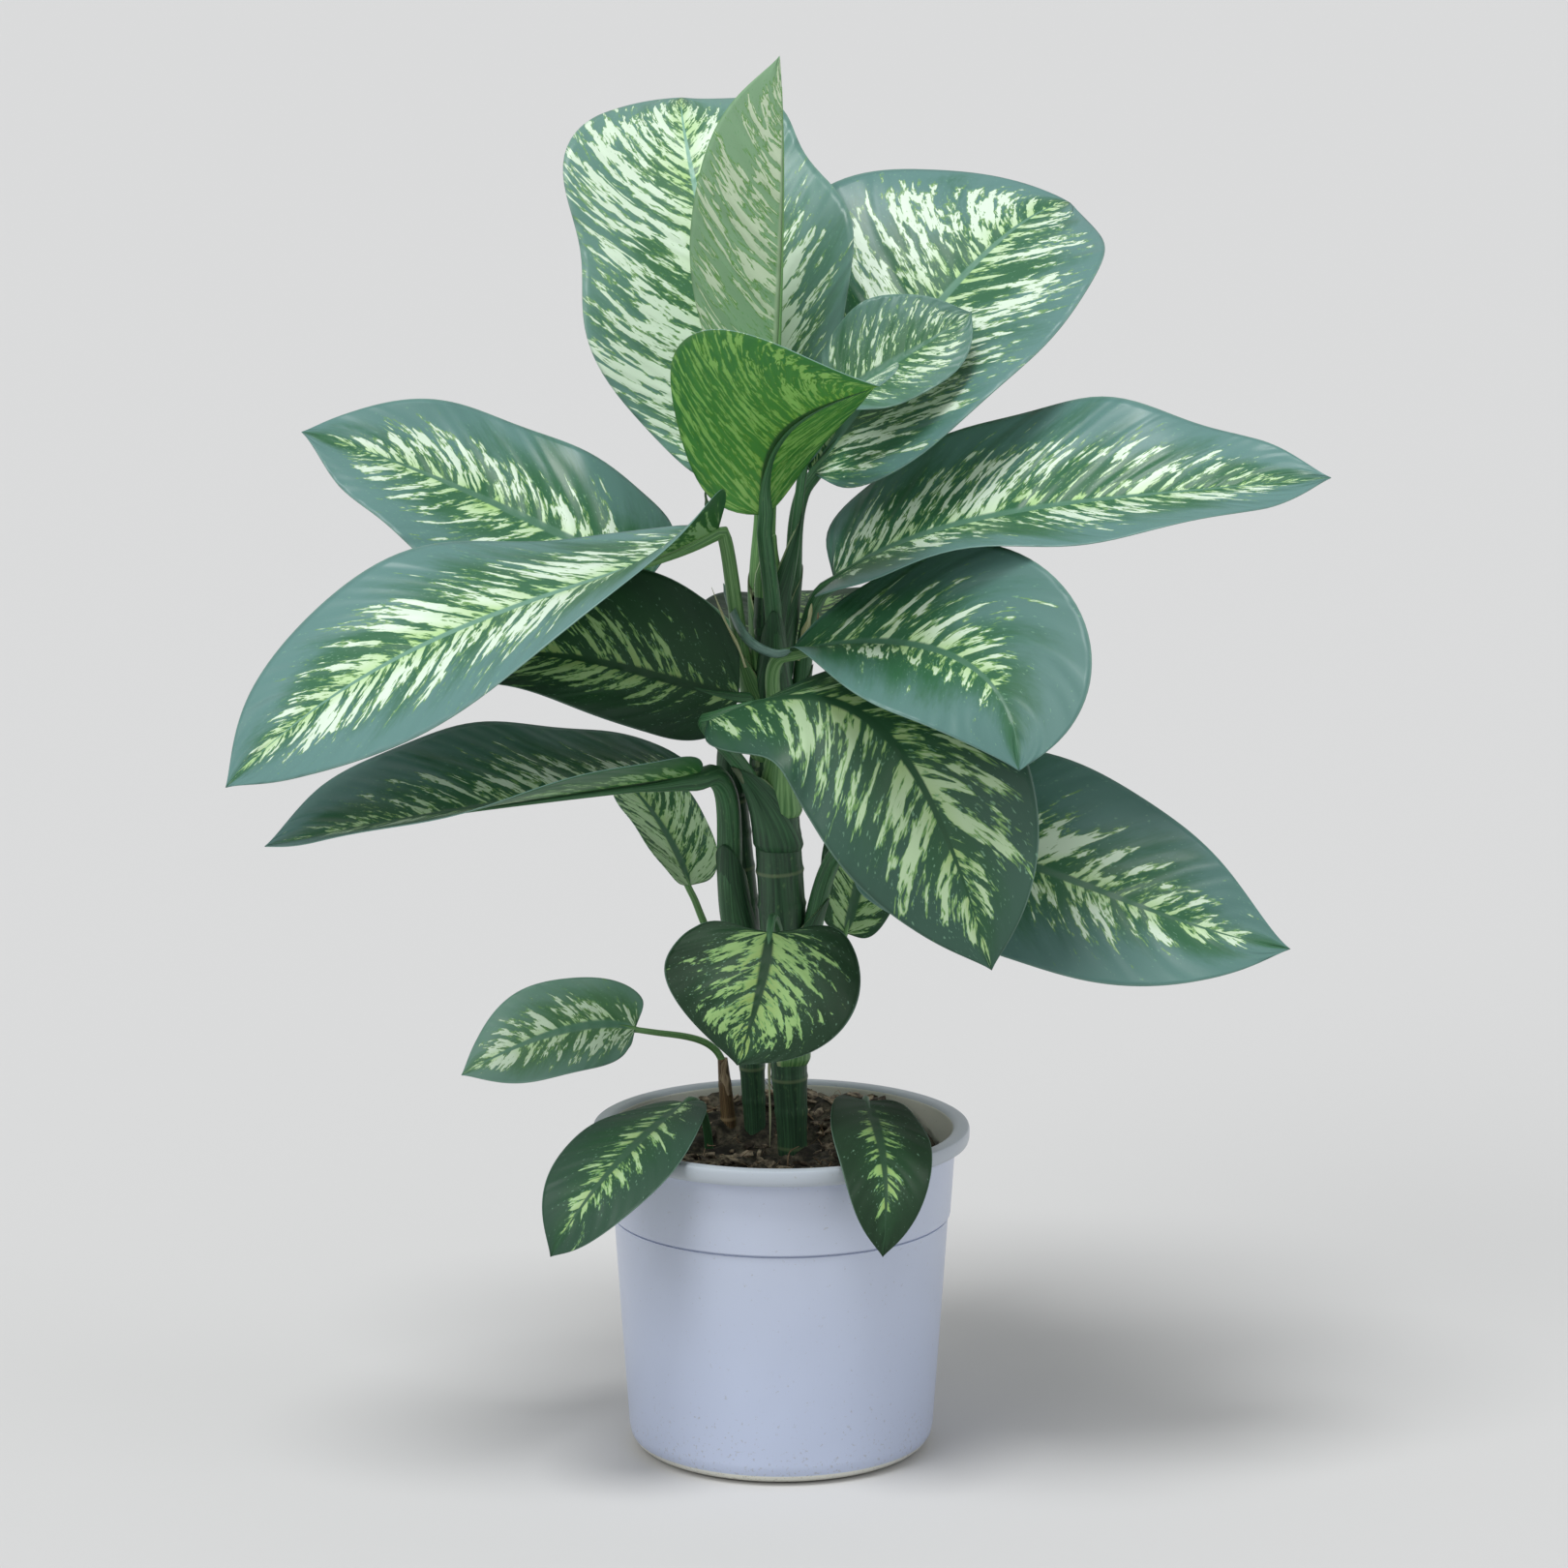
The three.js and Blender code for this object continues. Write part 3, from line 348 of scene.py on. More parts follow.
bark_draws = random.Random(41)
bark_mesh = bmesh.new()
for flake in range(flake_count):
    length = bark_draws.triangular(5, 18, 7)
    x, y = open_spot(bark_draws, length * 0.5)
    size = Vector((length, length * bark_draws.uniform(0.25, 0.6), bark_draws.uniform(1.2, 3.2)))
    tilt = Euler((
        bark_draws.uniform(-0.6, 0.6), bark_draws.uniform(-0.5, 0.5), bark_draws.uniform(0, math.pi),
    ))
    spot = Vector((x, y, soil_level(x, y) + bark_draws.uniform(-0.8, 1.8))) / 1000
    shape = Matrix.Translation(spot) @ tilt.to_matrix().to_4x4() @ Matrix.Diagonal((*size / 1000, 1))
    block = bmesh.ops.create_icosphere(bark_mesh, subdivisions=1, radius=0.55, matrix=shape)
    for vertex in block["verts"]:
        vertex.co += Vector([bark_draws.uniform(-0.08, 0.08) * length / 1000 for axis in range(3)])
bmesh.ops.recalc_face_normals(bark_mesh, faces=bark_mesh.faces)
bark_stuff = potting_mix_material("composted_bark", "#3A332A", "#B8A78F", 190.0)
bark = piece_from(bark_mesh, "bark_flakes", bark_stuff)
for polygon in bark.data.polygons:
    polygon.use_smooth = False
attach(bark, "root")

fibre_mesh = bmesh.new()
for fibre in range(fibre_count):
    x, y = open_spot(bark_draws, 3)
    is_twig = fibre % 8 == 0
    turn = bark_draws.uniform(0, 2 * math.pi)
    long_way = Vector((math.cos(turn), math.sin(turn), 0)) * bark_draws.uniform(5, 16)
    rise = bark_draws.uniform(3, 12) if is_twig else 0
    across_way = Vector((-math.sin(turn), math.cos(turn), 0))
    bow = bark_draws.uniform(-4, 4)
    lift = bark_draws.uniform(0.5, 3.5)
    rows = []
    for step in range(7):
        t = step / 6
        spot = Vector((x, y, 0)) + long_way * (t - 0.5) + across_way * bow * 4 * t * (1 - t)
        spot.z = soil_level(spot.x, spot.y) + 0.6 + lift * 4 * t * (1 - t) + rise * t
        thick = (0.8 if is_twig else 0.32) * (1 - 0.7 * t)
        rows.append([
            fibre_mesh.verts.new((spot + across_way * thick * a + Vector((0, 0, thick * b))) / 1000)
            for a, b in ((1, -0.6), (-1, -0.6), (0, 1))
        ])
    for low_row, high_row in zip(rows, rows[1:]):
        for side in range(3):
            fibre_mesh.faces.new((
                low_row[side], low_row[(side + 1) % 3], high_row[(side + 1) % 3], high_row[side],
            ))
    fibre_mesh.faces.new(rows[0])
    fibre_mesh.faces.new(rows[-1])
bmesh.ops.recalc_face_normals(fibre_mesh, faces=fibre_mesh.faces)
coir = potting_mix_material("coir_fibre", "#6E5A44", "#C0A88A", 240.0)
fibres = piece_from(fibre_mesh, "coir_fibres", coir)
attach(fibres, "root")


# Canes
# Two fleshy green stems, 13 to 30 mm thick and ringed by the scars of shed leaves, and a brown side shoot,
# 7 to 10 mm thick. They grow out of the mix. Each is a tube along a smooth curve through its points.
canes_mm = {
    "cane_main": {
        "axis": [
            (7, 22, 143), (7, 22, 192), (5, 20, 245), (1, 14, 340),
            (-4, 6, 430), (-6, 1, 500), (-8, -2, 562),
        ],
        "radii": [9, 9.5, 12, 15, 14.5, 12.5, 8.5],
    },
    "cane_left": {
        "axis": [
            (-17, 54, 143), (-17, 54, 192), (-19, 50, 240), (-24, 36, 335), (-29, 25, 400), (-32, 14, 455),
        ],
        "radii": [7, 7, 8.5, 10.5, 9.5, 6.5],
    },
    "shoot_left": {
        "axis": [(-34, 60, 152), (-34, 60, 192), (-36, 59, 215), (-38, 58, 238)],
        "radii": [5, 5, 4.6, 3.4],
    },
}
scar_spacing_mm = 23
cane_steps = 150


def smooth_curve(points):
    """The curve through points, as a function of a share from 0 to 1 of its length."""
    places = [Vector(p) for p in points]
    ends = [2 * places[0] - places[1], *places, 2 * places[-1] - places[-2]]
    samples = []
    for a, b, c, d in zip(ends, ends[1:], ends[2:], ends[3:]):
        first, middle, last = [math.sqrt(max((q - p).length, 1e-9)) for p, q in ((a, b), (b, c), (c, d))]
        leave = ((b - a) / first - (c - a) / (first + middle) + (c - b) / middle) * middle
        reach = ((c - b) / middle - (d - b) / (middle + last) + (d - c) / last) * middle
        for step in range(24):
            t = step / 24
            square, cube = t * t, t * t * t
            samples.append(
                b * (2 * cube - 3 * square + 1) + leave * (cube - 2 * square + t)
                + c * (3 * square - 2 * cube) + reach * (cube - square)
            )
    samples.append(places[-1])
    return even_curve(samples)


def even_curve(samples):
    """Samples of a curve as a function of the share of its length, with its length beside it."""
    lengths = [0.0]
    for a, b in zip(samples, samples[1:]):
        lengths.append(lengths[-1] + (b - a).length)

    def point_at(share):
        target = min(max(share, 0.0), 1.0) * lengths[-1]
        low, high = 0, len(lengths) - 1
        while high - low > 1:
            middle = (low + high) // 2
            if lengths[middle] <= target:
                low = middle
            else:
                high = middle
        span = lengths[high] - lengths[low]
        return samples[low].lerp(samples[high], (target - lengths[low]) / span if span > 0 else 0)

    return point_at, lengths[-1]


def way_at(point_at, share):
    return (point_at(min(share + 0.004, 1)) - point_at(max(share - 0.004, 0))).normalized()


def round_section(point_at, radius_at, steps, first_side=Vector((0, -1, 0))):
    """The skin of a round stem along a curve: a place in mm for a share of the length and a turn."""
    frames = []
    side = first_side
    for step in range(steps + 1):
        way = way_at(point_at, step / steps)
        side = (side - way * side.dot(way)).normalized()
        frames.append((point_at(step / steps), side, way.cross(side)))

    def place_at(share, turn):
        centre, side, across = frames[round(share * steps)]
        radius = radius_at(share, turn)
        return centre + side * radius * math.cos(turn) + across * radius * math.sin(turn)

    return place_at


def tube_piece(name, place_at, length, sides, steps, material):
    """A closed tube. Its map runs along in metres and round from 0 to 1."""
    mesh = bmesh.new()
    around = mesh.loops.layers.uv.new("along_and_round")
    bmesh.ops.create_grid(mesh, x_segments=steps, y_segments=sides, size=0.5)
    for face in mesh.faces:
        for loop in face.loops:
            loop[around].uv = ((loop.vert.co.x + 0.5) * length / 1000, loop.vert.co.y + 0.5)
    for vertex in mesh.verts:
        share, turn = vertex.co.x + 0.5, 2 * math.pi * (vertex.co.y + 0.5)
        vertex.co = place_at(share, turn) / 1000
    bmesh.ops.remove_doubles(mesh, verts=mesh.verts, dist=1e-7)
    closing = bmesh.ops.holes_fill(mesh, edges=[edge for edge in mesh.edges if edge.is_boundary])
    for face in closing["faces"]:
        for loop in face.loops:
            loop[around].uv = (length / 1000, 0)
    bmesh.ops.recalc_face_normals(mesh, faces=mesh.faces)
    return piece_from(mesh, name, material)


def radius_at_height(cane, z):
    heights = [point[2] for point in cane["axis"]]
    z = min(max(z, heights[0]), heights[-1])
    for low, high, a, b in zip(heights, heights[1:], cane["radii"], cane["radii"][1:]):
        if z <= high:
            return a + (b - a) * (z - low) / (high - low)
    return cane["radii"][-1]


def axis_at_height(cane, z):
    low, high = 0.0, 1.0
    for halving in range(30):
        middle = (low + high) / 2
        if cane["curve"](middle).z < z:
            low = middle
        else:
            high = middle
    return cane["curve"](low)


def striped_material(name, scale, roughness, span, deep, fresh):
    """Plant skin with fibres along it: the material, its map, its fibres and their colour."""
    skin = start_material(name)
    turned = add(skin, "UVMap", uv_map="along_and_round")
    fibres = stretched_noise(skin, turned, (*scale, 1.0), {"Detail": 4.0, "Roughness": roughness})
    share = add(skin, "MapRange", {
        "Value": fibres, "From Min": span[0], "From Max": span[1],
    }, interpolation_type="SMOOTHSTEP")
    striped = add(skin, "Mix", {0: share, 6: deep, 7: fresh}, data_type="RGBA")
    return skin, turned, fibres, striped


def stem_material(name, deep, fresh, scar, scar_share):
    """Fleshy green stem skin: smooth, faintly striped along, paler in each ring scar."""
    # Fibres run along the stem: streaks about 2 mm wide on a cane and 60 mm long.
    skin, turned, fibres, green = striped_material(name, (16.0, 34.0), 0.55, (0.34, 0.7), deep, fresh)
    # Pale flecks like those on the leaves, about 3 mm wide and up to 8 mm long.
    flecks = stretched_noise(skin, turned, (120.0, 26.0, 1.0), {"Detail": 3.0, "Roughness": 0.6})
    fleck_share = add(skin, "MapRange", {
        "Value": flecks, "From Min": 0.6, "From Max": 0.72, "To Max": 0.35,
    })
    # A corky line rings the stem at every second scar, so 46 mm apart.
    parts = add(skin, "SeparateXYZ", {"Vector": turned})
    ring = add(skin, "Math", {0: parts.outputs["X"], 1: 1000 / scar_spacing_mm}, operation="MULTIPLY")
    ring_place = add(skin, "Math", {0: ring, 1: 1.0}, operation="PINGPONG")
    ring_share = add(skin, "MapRange", {
        "Value": ring_place, "From Min": 0.07, "From Max": 0.02, "To Max": scar_share,
    })
    colour = green
    for share, tone in ((fleck_share, "#7FA56B"), (ring_share, scar)):
        colour = add(skin, "Mix", {0: share, 6: colour, 7: tone}, data_type="RGBA")
    return finish_material(skin, colour, fibres, 0.35, 0.0008, {
        "Roughness": 0.42,
        "IOR": 1.42,
        "Subsurface Weight": 0.1,
        "Subsurface Radius": (0.002, 0.004, 0.001),
    })


cane_skin = stem_material("green_cane_skin", "#2A4634", "#426A4A", "#7F8F68", 0.5)
shoot_skin = stem_material("brown_shoot_sheath", "#4B3A29", "#8B7352", "#B39C78", 0.6)
for name, cane in canes_mm.items():
    cane["curve"], cane["length"] = smooth_curve(cane["axis"])

    def cane_radius(share, turn, cane=cane):
        scar = max(0.0, math.cos(2 * math.pi * share * cane["length"] / scar_spacing_mm)) ** 6
        uneven = 0.03 * noise.noise(Vector((math.cos(turn), math.sin(turn), share * 6)))
        return radius_at_height(cane, cane["curve"](share).z) * (1 + 0.06 * scar + uneven) - 0.15

    section = round_section(cane["curve"], cane_radius, cane_steps)
    skin = shoot_skin if name == "shoot_left" else cane_skin
    made = tube_piece(name + "_skin", section, cane["length"], 28, cane_steps, skin)
    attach(made, "root")
    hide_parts(name)


# Leaves
# Each leaf grows as one piece: a stalk, mostly with a sheath that clasps its stem, and a long oval blade.
# The skin is waxy and dark green at the margin, with cream-green streaks along the side veins.
blade_thickness_mm = 0.55
base_roundness = 0.5
tip_sharpness = 0.9
widest = base_roundness / (base_roundness + tip_sharpness)
drip_tip_depth = 0.6
drip_tip_reach = 0.07
vein_spacing_mm = 13
rows_along = 64
rows_across = 36
stalk_steps = 90
stalk_hole_depth_mm = 12
stalk_inset = 0.62
stalk_lean = 0.3
stalk_rise = 0.45
sheath_drop_mm = 14
sheath_climb_mm = 50
vein_lean = 0.6
pattern_step_mm = 400

# cane, foot_height and side: the stem that the stalk grows from, how high, and on which side. foot: its
# place in the mix where it has no stem. stalk: its radius. lead: how far it runs straight on to the blade.
# spine: midrib points from stalk to tip. face: the way the upper side looks at base and tip.
# width: of the whole blade. sweep: how far its edges are drawn toward the tip. taper: how slender the base
# is. blunt: how slender the tip is. ripple: size, count and start of the waves in the outline.
# wave: the same for the waves up and down.
# right, and left where it differs: fold at base and tip, curl, lobe and share of the half width.
# markings: how far the pale zone reaches, how full it is, how pale the midrib is, how young the leaf is
# and how old, which also gives its painted shade. grain: how fine the streaks are. right_zone: how much
# narrower the pale zone is on the right.
# bare: the shares of the length over which the pale zone opens at the base and closes at the tip.
leaves_mm = {
    "leaf_top_back": {
        "cane": "cane_main", "foot_height": 514, "side": (-0.7, 0.75), "stalk": 5,
        "spine": [(-13, 22, 616), (-30, 45, 698), (-54, 85, 796), (-64, 166, 850)],
        "face": [(-0.12, -0.93, 0.35), (0, -0.55, 0.83)],
        "width": 176, "sweep": 0.08, "taper": 1.15, "blunt": 0.85,
        "ripple": (0.07, 2.5, 0.22), "wave": (4, 2.5, 0.1),
        "right": ((12, 5), 9, 0.04, 0.96), "left": ((14, 6), 12, 0.05, 1),
        "markings": (1.08, 0.61, 0.9, 0.1, 0), "grain": 1.12, "right_zone": 0.74,
    },
    "leaf_spear": {
        "cane": "cane_main", "foot_height": 560, "side": (0, 0), "stalk": 4,
        "spine": [(-6, -4, 617), (-2, -12, 702), (1, -20, 800), (-1, -22, 883)],
        "face": [(-0.75, 0.66, 0)] * 2,
        "width": 108, "sweep": 0.12, "taper": 1.6, "wave": (1.5, 2, 0.3),
        "right": ((72, 42), 14, 0, 1),
        "markings": (1.1, 0.57, 0.9, 0.8, 0), "grain": 0.95,
    },
    "leaf_top_right": {
        "cane": "cane_main", "foot_height": 510, "side": (0.95, 0.35), "stalk": 5.2,
        "spine": [(20, 14, 624), (70, 38, 691), (130, 82, 756), (186, 138, 784)],
        "face": [(-0.36, -0.72, 0.58), (-0.3, -0.82, 0.5)],
        "width": 190, "sweep": 0.03, "blunt": 0.75,
        "ripple": (0.03, 1.5, 0), "wave": (3, 2.2, 0.6),
        "right": ((22, 10), 4, 0.05, 1.05), "left": ((2, 0), 4, 0.05, 1.3),
        "markings": (0.96, 0.5, 0.45, 0, 0),
    },
    "leaf_top_inner": {
        "cane": "cane_main", "foot_height": 536, "side": (1, -0.3), "stalk": 3,
        "spine": [(35, 2, 671), (60, 0, 689), (87, 0, 705), (118, 6, 725)],
        "face": [(-0.42, -0.85, 0.3)] * 2,
        "width": 86, "wave": (2, 2, 0.2),
        "right": ((45, 20), 4, 0.05, 1), "left": ((5, 5), 4, 0.05, 1),
        "markings": (1.05, 0.36, 0.35, 0.1, 0.15), "grain": 1.9,
    },
    "leaf_top_cup": {
        "cane": "cane_main", "foot_height": 488, "side": (0.2, -1), "stalk": 5.4,
        "spine": [(-11, -20, 602), (-4, -42, 646), (20, -110, 676), (57, -190, 699)],
        "face": [(-0.35, 0.55, 0.75)] * 2,
        "width": 174, "taper": 1.4, "wave": (2, 1.5, 0),
        "right": ((35, 30), 25, 0.04, 1), "left": ((-6, 20), 0, 0, 0.62),
        "markings": (1.2, 0.5, 0.1, 0.1, 0), "grain": 1.5,
    },
    "leaf_right_upper": {
        "cane": "cane_main", "foot_height": 446, "side": (1, 0), "stalk": 5.6,
        "spine": [(33, -8, 560), (115, -40, 600), (220, -60, 619), (335, -60, 630)],
        "face": [(-0.15, -0.52, 0.85)] * 2,
        "width": 158, "ripple": (0.07, 2.2, 0.99), "wave": (4, 2.6, 0.4),
        "right": ((28, 20), 0, 0.07, 1), "left": ((14, 12), 0, 0.07, 1),
        "markings": (0.76, 0.48, 0.35, 0, 0),
    },
    "leaf_right_middle": {
        "cane": "cane_main", "foot_height": 422, "side": (0.4, -0.9), "stalk": 5,
        "spine": [(6, -36, 519), (64, -85, 532), (117, -145, 524), (140, -190, 472)],
        "face": [(-0.3, -0.62, 0.72), (-0.2, -0.85, 0.3)],
        "width": 142, "sweep": 0.13, "taper": 1.6, "wave": (2, 2, 0.1),
        "right": ((58, 34), 0, 0, 1), "left": ((10, 4), 0, 0, 1),
        "markings": (0.62, 0.47, 0.25, 0, 0.1), "grain": 0.8, "bare": (0.1, 0.45),
    },
    "leaf_front_hanging": {
        "cane": "cane_main", "foot_height": 400, "side": (-0.6, -0.8), "stalk": 5, "lead": 0.12,
        "spine": [(-44, -82, 486), (32, -108, 500), (84, -146, 456), (126, -168, 347)],
        "face": [(-0.3, -0.5, 0.8), (-0.35, -0.88, 0.3)],
        "width": 134, "taper": 1.4, "wave": (3, 2.4, 0.7),
        "right": ((0, 10), 0, 0.1, 1), "left": ((-58, 8), 0, 0, 0.95),
        "markings": (0.9, 0.46, 0.0, 0, 0.6), "grain": 0.62,
    },
    "leaf_right_lower": {
        "cane": "cane_main", "foot_height": 300, "side": (1, -0.25), "stalk": 6,
        "spine": [(55, -25, 400), (139, -60, 394), (222, -85, 368), (312, -95, 344)],
        "face": [(0.05, -0.66, 0.75), (0.25, -0.75, 0.6)],
        "width": 148, "sweep": 0.05, "wave": (2, 2.2, 0.3),
        "right": ((4, 4), -4, 0.07, 1), "left": ((22, 14), -4, 0.07, 1),
        "markings": (0.6, 0.48, 0.15, 0, 0.12), "grain": 0.75, "bare": (0.36, 0.1),
    },
    "leaf_left_upper": {
        "cane": "cane_main", "foot_height": 474, "side": (-0.6, 0.8), "stalk": 4.8,
        "spine": [(-83, 60, 552), (-150, 80, 581), (-228, 95, 614), (-307, 95, 641)],
        "face": [(0.1, -0.62, 0.78)] * 2,
        "width": 140, "ripple": (0.03, 2, 0.1), "wave": (3, 2.3, 0.5),
        "right": ((6, 4), 0, 0.07, 1),
        "markings": (0.74, 0.48, 0.25, 0, 0), "grain": 0.85, "bare": (0.25, 0.05),
    },
    "leaf_left_front": {
        "cane": "cane_main", "foot_height": 458, "side": (-0.95, -0.35), "stalk": 5, "lead": 0.08,
        "spine": [(-39, -20, 593), (-122, -75, 566), (-225, -120, 531), (-334, -130, 451)],
        "face": [(-0.15, -0.45, 0.88), (-0.35, -0.7, 0.62)],
        "width": 165, "wave": (3, 2.1, 0.2),
        "right": ((-18, 6), 0, 0.07, 1), "left": ((66, 0), 0, 0.07, 1),
        "markings": (0.72, 0.56, 0.6, 0, 0), "grain": 0.85,
    },
    "leaf_left_inner": {
        "cane": "cane_left", "foot_height": 432, "side": (-0.8, -0.6), "stalk": 4,
        "spine": [(-26, -25, 490), (-94, -38, 508), (-171, -52, 519), (-264, -50, 484)],
        "face": [(-0.1, -0.55, 0.83)] * 2,
        "width": 130, "taper": 0.75, "wave": (2, 2.2, 0.6),
        "right": ((58, 5), 0, 0, 1), "left": ((-40, 24), 0, 0, 0.7),
        "markings": (0.9, 0.46, 0.0, 0, 0.85), "bare": (0.5, 0.1),
    },
    "leaf_left_lower": {
        "cane": "cane_left", "foot_height": 325, "side": (-0.7, -0.7), "stalk": 8,
        "spine": [(-51, -25, 440), (-123, -70, 437), (-211, -95, 428), (-314, -105, 410)],
        "face": [(-0.05, -0.35, 0.93)] * 2,
        "width": 146, "taper": 1.3, "wave": (2, 2.4, 0.1),
        "right": ((10, 8), 8, 0.07, 1), "left": ((52, 22), 8, 0, 1),
        "markings": (0.68, 0.5, 0.1, 0, 0),
    },
    "leaf_left_pale": {
        "cane": "cane_left", "foot_height": 262, "side": (-1, 0.1), "stalk": 2.6,
        "spine": [(-59, 50, 354), (-72, 62, 381), (-89, 72, 405), (-112, 80, 427)],
        "face": [(0.7, -0.6, 0.3)] * 2,
        "width": 66, "wave": (1, 2, 0),
        "right": ((20, 15), 0, 0.07, 1),
        "markings": (1.2, 0.68, 0.3, 0.05, 0.5), "grain": 1.7,
    },
    "leaf_right_pale": {
        "cane": "cane_main", "foot_height": 258, "side": (1, 0.4), "stalk": 2.6,
        "spine": [(41, 40, 325), (49, 50, 354), (52, 58, 382), (48, 70, 417)],
        "face": [(0.3, -0.9, 0.2)] * 2,
        "width": 56, "wave": (1, 2, 0.5),
        "right": ((10, 5), 0, 0.07, 1),
        "markings": (0.9, 0.56, 0.3, 0.05, 0.75), "grain": 1.3,
    },
    "leaf_front_small": {
        "cane": "cane_main", "foot_height": 284, "side": (-0.1, -1), "stalk": 3,
        "spine": [(-7, -70, 349), (-11, -88, 326), (-18, -100, 300), (-27, -104, 273)],
        "face": [(-0.05, -0.8, 0.6), (-0.05, -0.97, 0.25)],
        "width": 122, "sweep": 0.05, "wave": (1.5, 1.5, 0.3),
        "right": ((4, 8), -6, 0.16, 1),
        "markings": (0.72, 0.56, 0.0, 0, 0.97), "grain": 1.35,
    },
    "leaf_low_left": {
        "cane": "shoot_left", "foot_height": 228, "side": (0, 0), "stalk": 2.2,
        "spine": [(-94, 45, 261), (-123, 40, 264), (-161, 30, 256), (-205, 25, 235)],
        "face": [(0.05, -0.65, 0.76)] * 2,
        "width": 76, "sweep": 0.05, "wave": (1.5, 1.8, 0.2),
        "right": ((12, 6), 0, 0.07, 1),
        "markings": (0.74, 0.56, 0.4, 0.2, 0), "grain": 1.25,
    },
    "leaf_rim_left": {
        "foot": (-46, 30), "stalk": 2.6,
        "spine": [(-61, -22, 229), (-87, -80, 220), (-115, -122, 198), (-141, -134, 160)],
        "face": [(-0.35, -0.72, 0.6)] * 2,
        "width": 74, "taper": 1.4, "wave": (1.2, 1.8, 0.6),
        "right": ((8, 6), -6, 0.07, 1),
        "markings": (0.52, 0.46, 0.2, 0, 0.75),
    },
    "leaf_rim_right": {
        "foot": (58, 8), "stalk": 2.4,
        "spine": [(54, -35, 233), (61, -92, 222), (64, -127, 200), (62, -138, 161)],
        "face": [(0.2, -0.85, 0.5)] * 2,
        "width": 62, "wave": (1.2, 1.8, 0.1),
        "right": ((10, 8), -4, 0.07, 1),
        "markings": (0.48, 0.44, 0.2, 0, 1), "bare": (0.2, 0.25),
    },
    "leaf_back": {
        "cane": "cane_main", "foot_height": 452, "side": (0.1, 1), "stalk": 4.6,
        "spine": [(10, 35, 511), (18, 105, 515), (18, 175, 518), (14, 245, 517)],
        "face": [(0, -0.15, 0.98)] * 2,
        "width": 150, "wave": (2, 2.2, 0.4),
        "right": ((10, 5), -4, 0.07, 1),
        "markings": (0.6, 0.45, 0.2, 0, 1),
    },
}
def midrib_curve(spine):
    """The cubic through the four points of the midrib."""
    a, b, c, d = [Vector(point) for point in spine]
    first = a * (-5 / 6) + b * 3 - c * 1.5 + d / 3
    second = a / 3 - b * 1.5 + c * 3 - d * (5 / 6)
    samples = []
    for step in range(201):
        t = step / 200
        u = 1 - t
        samples.append(a * u ** 3 + first * 3 * u * u * t + second * 3 * u * t * t + d * t ** 3)
    return even_curve(samples)


def frame_at(leaf, x):
    """Point, way to the tip, upper side, right side and share at a distance x along the midrib."""
    share = min(max(x / leaf["length"], 0), 1)
    way = way_at(leaf["curve"], share)
    point = leaf["curve"](share) + way * (x - share * leaf["length"])
    up = leaf["base_face"].lerp(leaf["tip_face"], share)
    up = (up - way * up.dot(way)).normalized()
    return point, way, up, way.cross(up), share


def blade_point(leaf, t, s):
    """A point of the blade in mm: t along from stalk to tip, s across from the left edge to the right."""
    half = leaf.get("left", leaf["right"]) if s < 0 else leaf["right"]
    (fold_base, fold_tip), curl_angle, lobe_size, half_share = half
    reach = abs(s)
    swell = 0.0
    if 0 < t < 1:
        swell = (t / widest) ** (base_roundness * leaf.get("taper", 1))
        swell *= ((1 - t) / (1 - widest)) ** (tip_sharpness * leaf.get("blunt", 1))
        swell *= 1 - drip_tip_depth * math.exp((t - 1) / drip_tip_reach)
    ripple_size, ripple_count, ripple_start = leaf.get("ripple", (0, 1, 0))
    ripple_phase = 2 * math.pi * (ripple_count * t + ripple_start) + (2.1 if s < 0 else 0)
    edge = leaf["width"] / 2 * swell * half_share * (1 + ripple_size * math.sin(ripple_phase))
    lobe = lobe_size * (1 - t) * (t / 0.1) * math.exp(1 - t / 0.1)
    x = leaf["length"] * (t + (leaf.get("sweep", 0.1) * 4 * t * (1 - t) - lobe) * reach ** 1.6)
    y = edge * reach
    point, way, up, right, share = frame_at(leaf, x)
    fold = math.radians(fold_tip + (fold_base - fold_tip) * (1 - share) ** 2)
    curl = math.radians(curl_angle) / (leaf["width"] / 2)
    if curl:
        outward = (math.sin(fold + curl * y) - math.sin(fold)) / curl
        upward = (math.cos(fold) - math.cos(fold + curl * y)) / curl
    else:
        outward = y * math.cos(fold)
        upward = y * math.sin(fold)
    wave_size, wave_count, wave_start = leaf["wave"]
    fade = min(1, 6 * t) * min(1, 5 * (1 - t))
    wave_phase = 2 * math.pi * (wave_count * x / leaf["length"] + wave_start) + (1.3 if s < 0 else 0)
    wave = wave_size * reach * reach * fade * math.sin(wave_phase)
    return point + right * (outward if s >= 0 else -outward) + up * (upward + wave)


def set_tone(made, name, value):
    """Stores one number for the whole piece, which its material reads."""
    layer = made.data.attributes.new(name, "FLOAT", "POINT")
    layer.data.foreach_set("value", [value] * len(made.data.vertices))


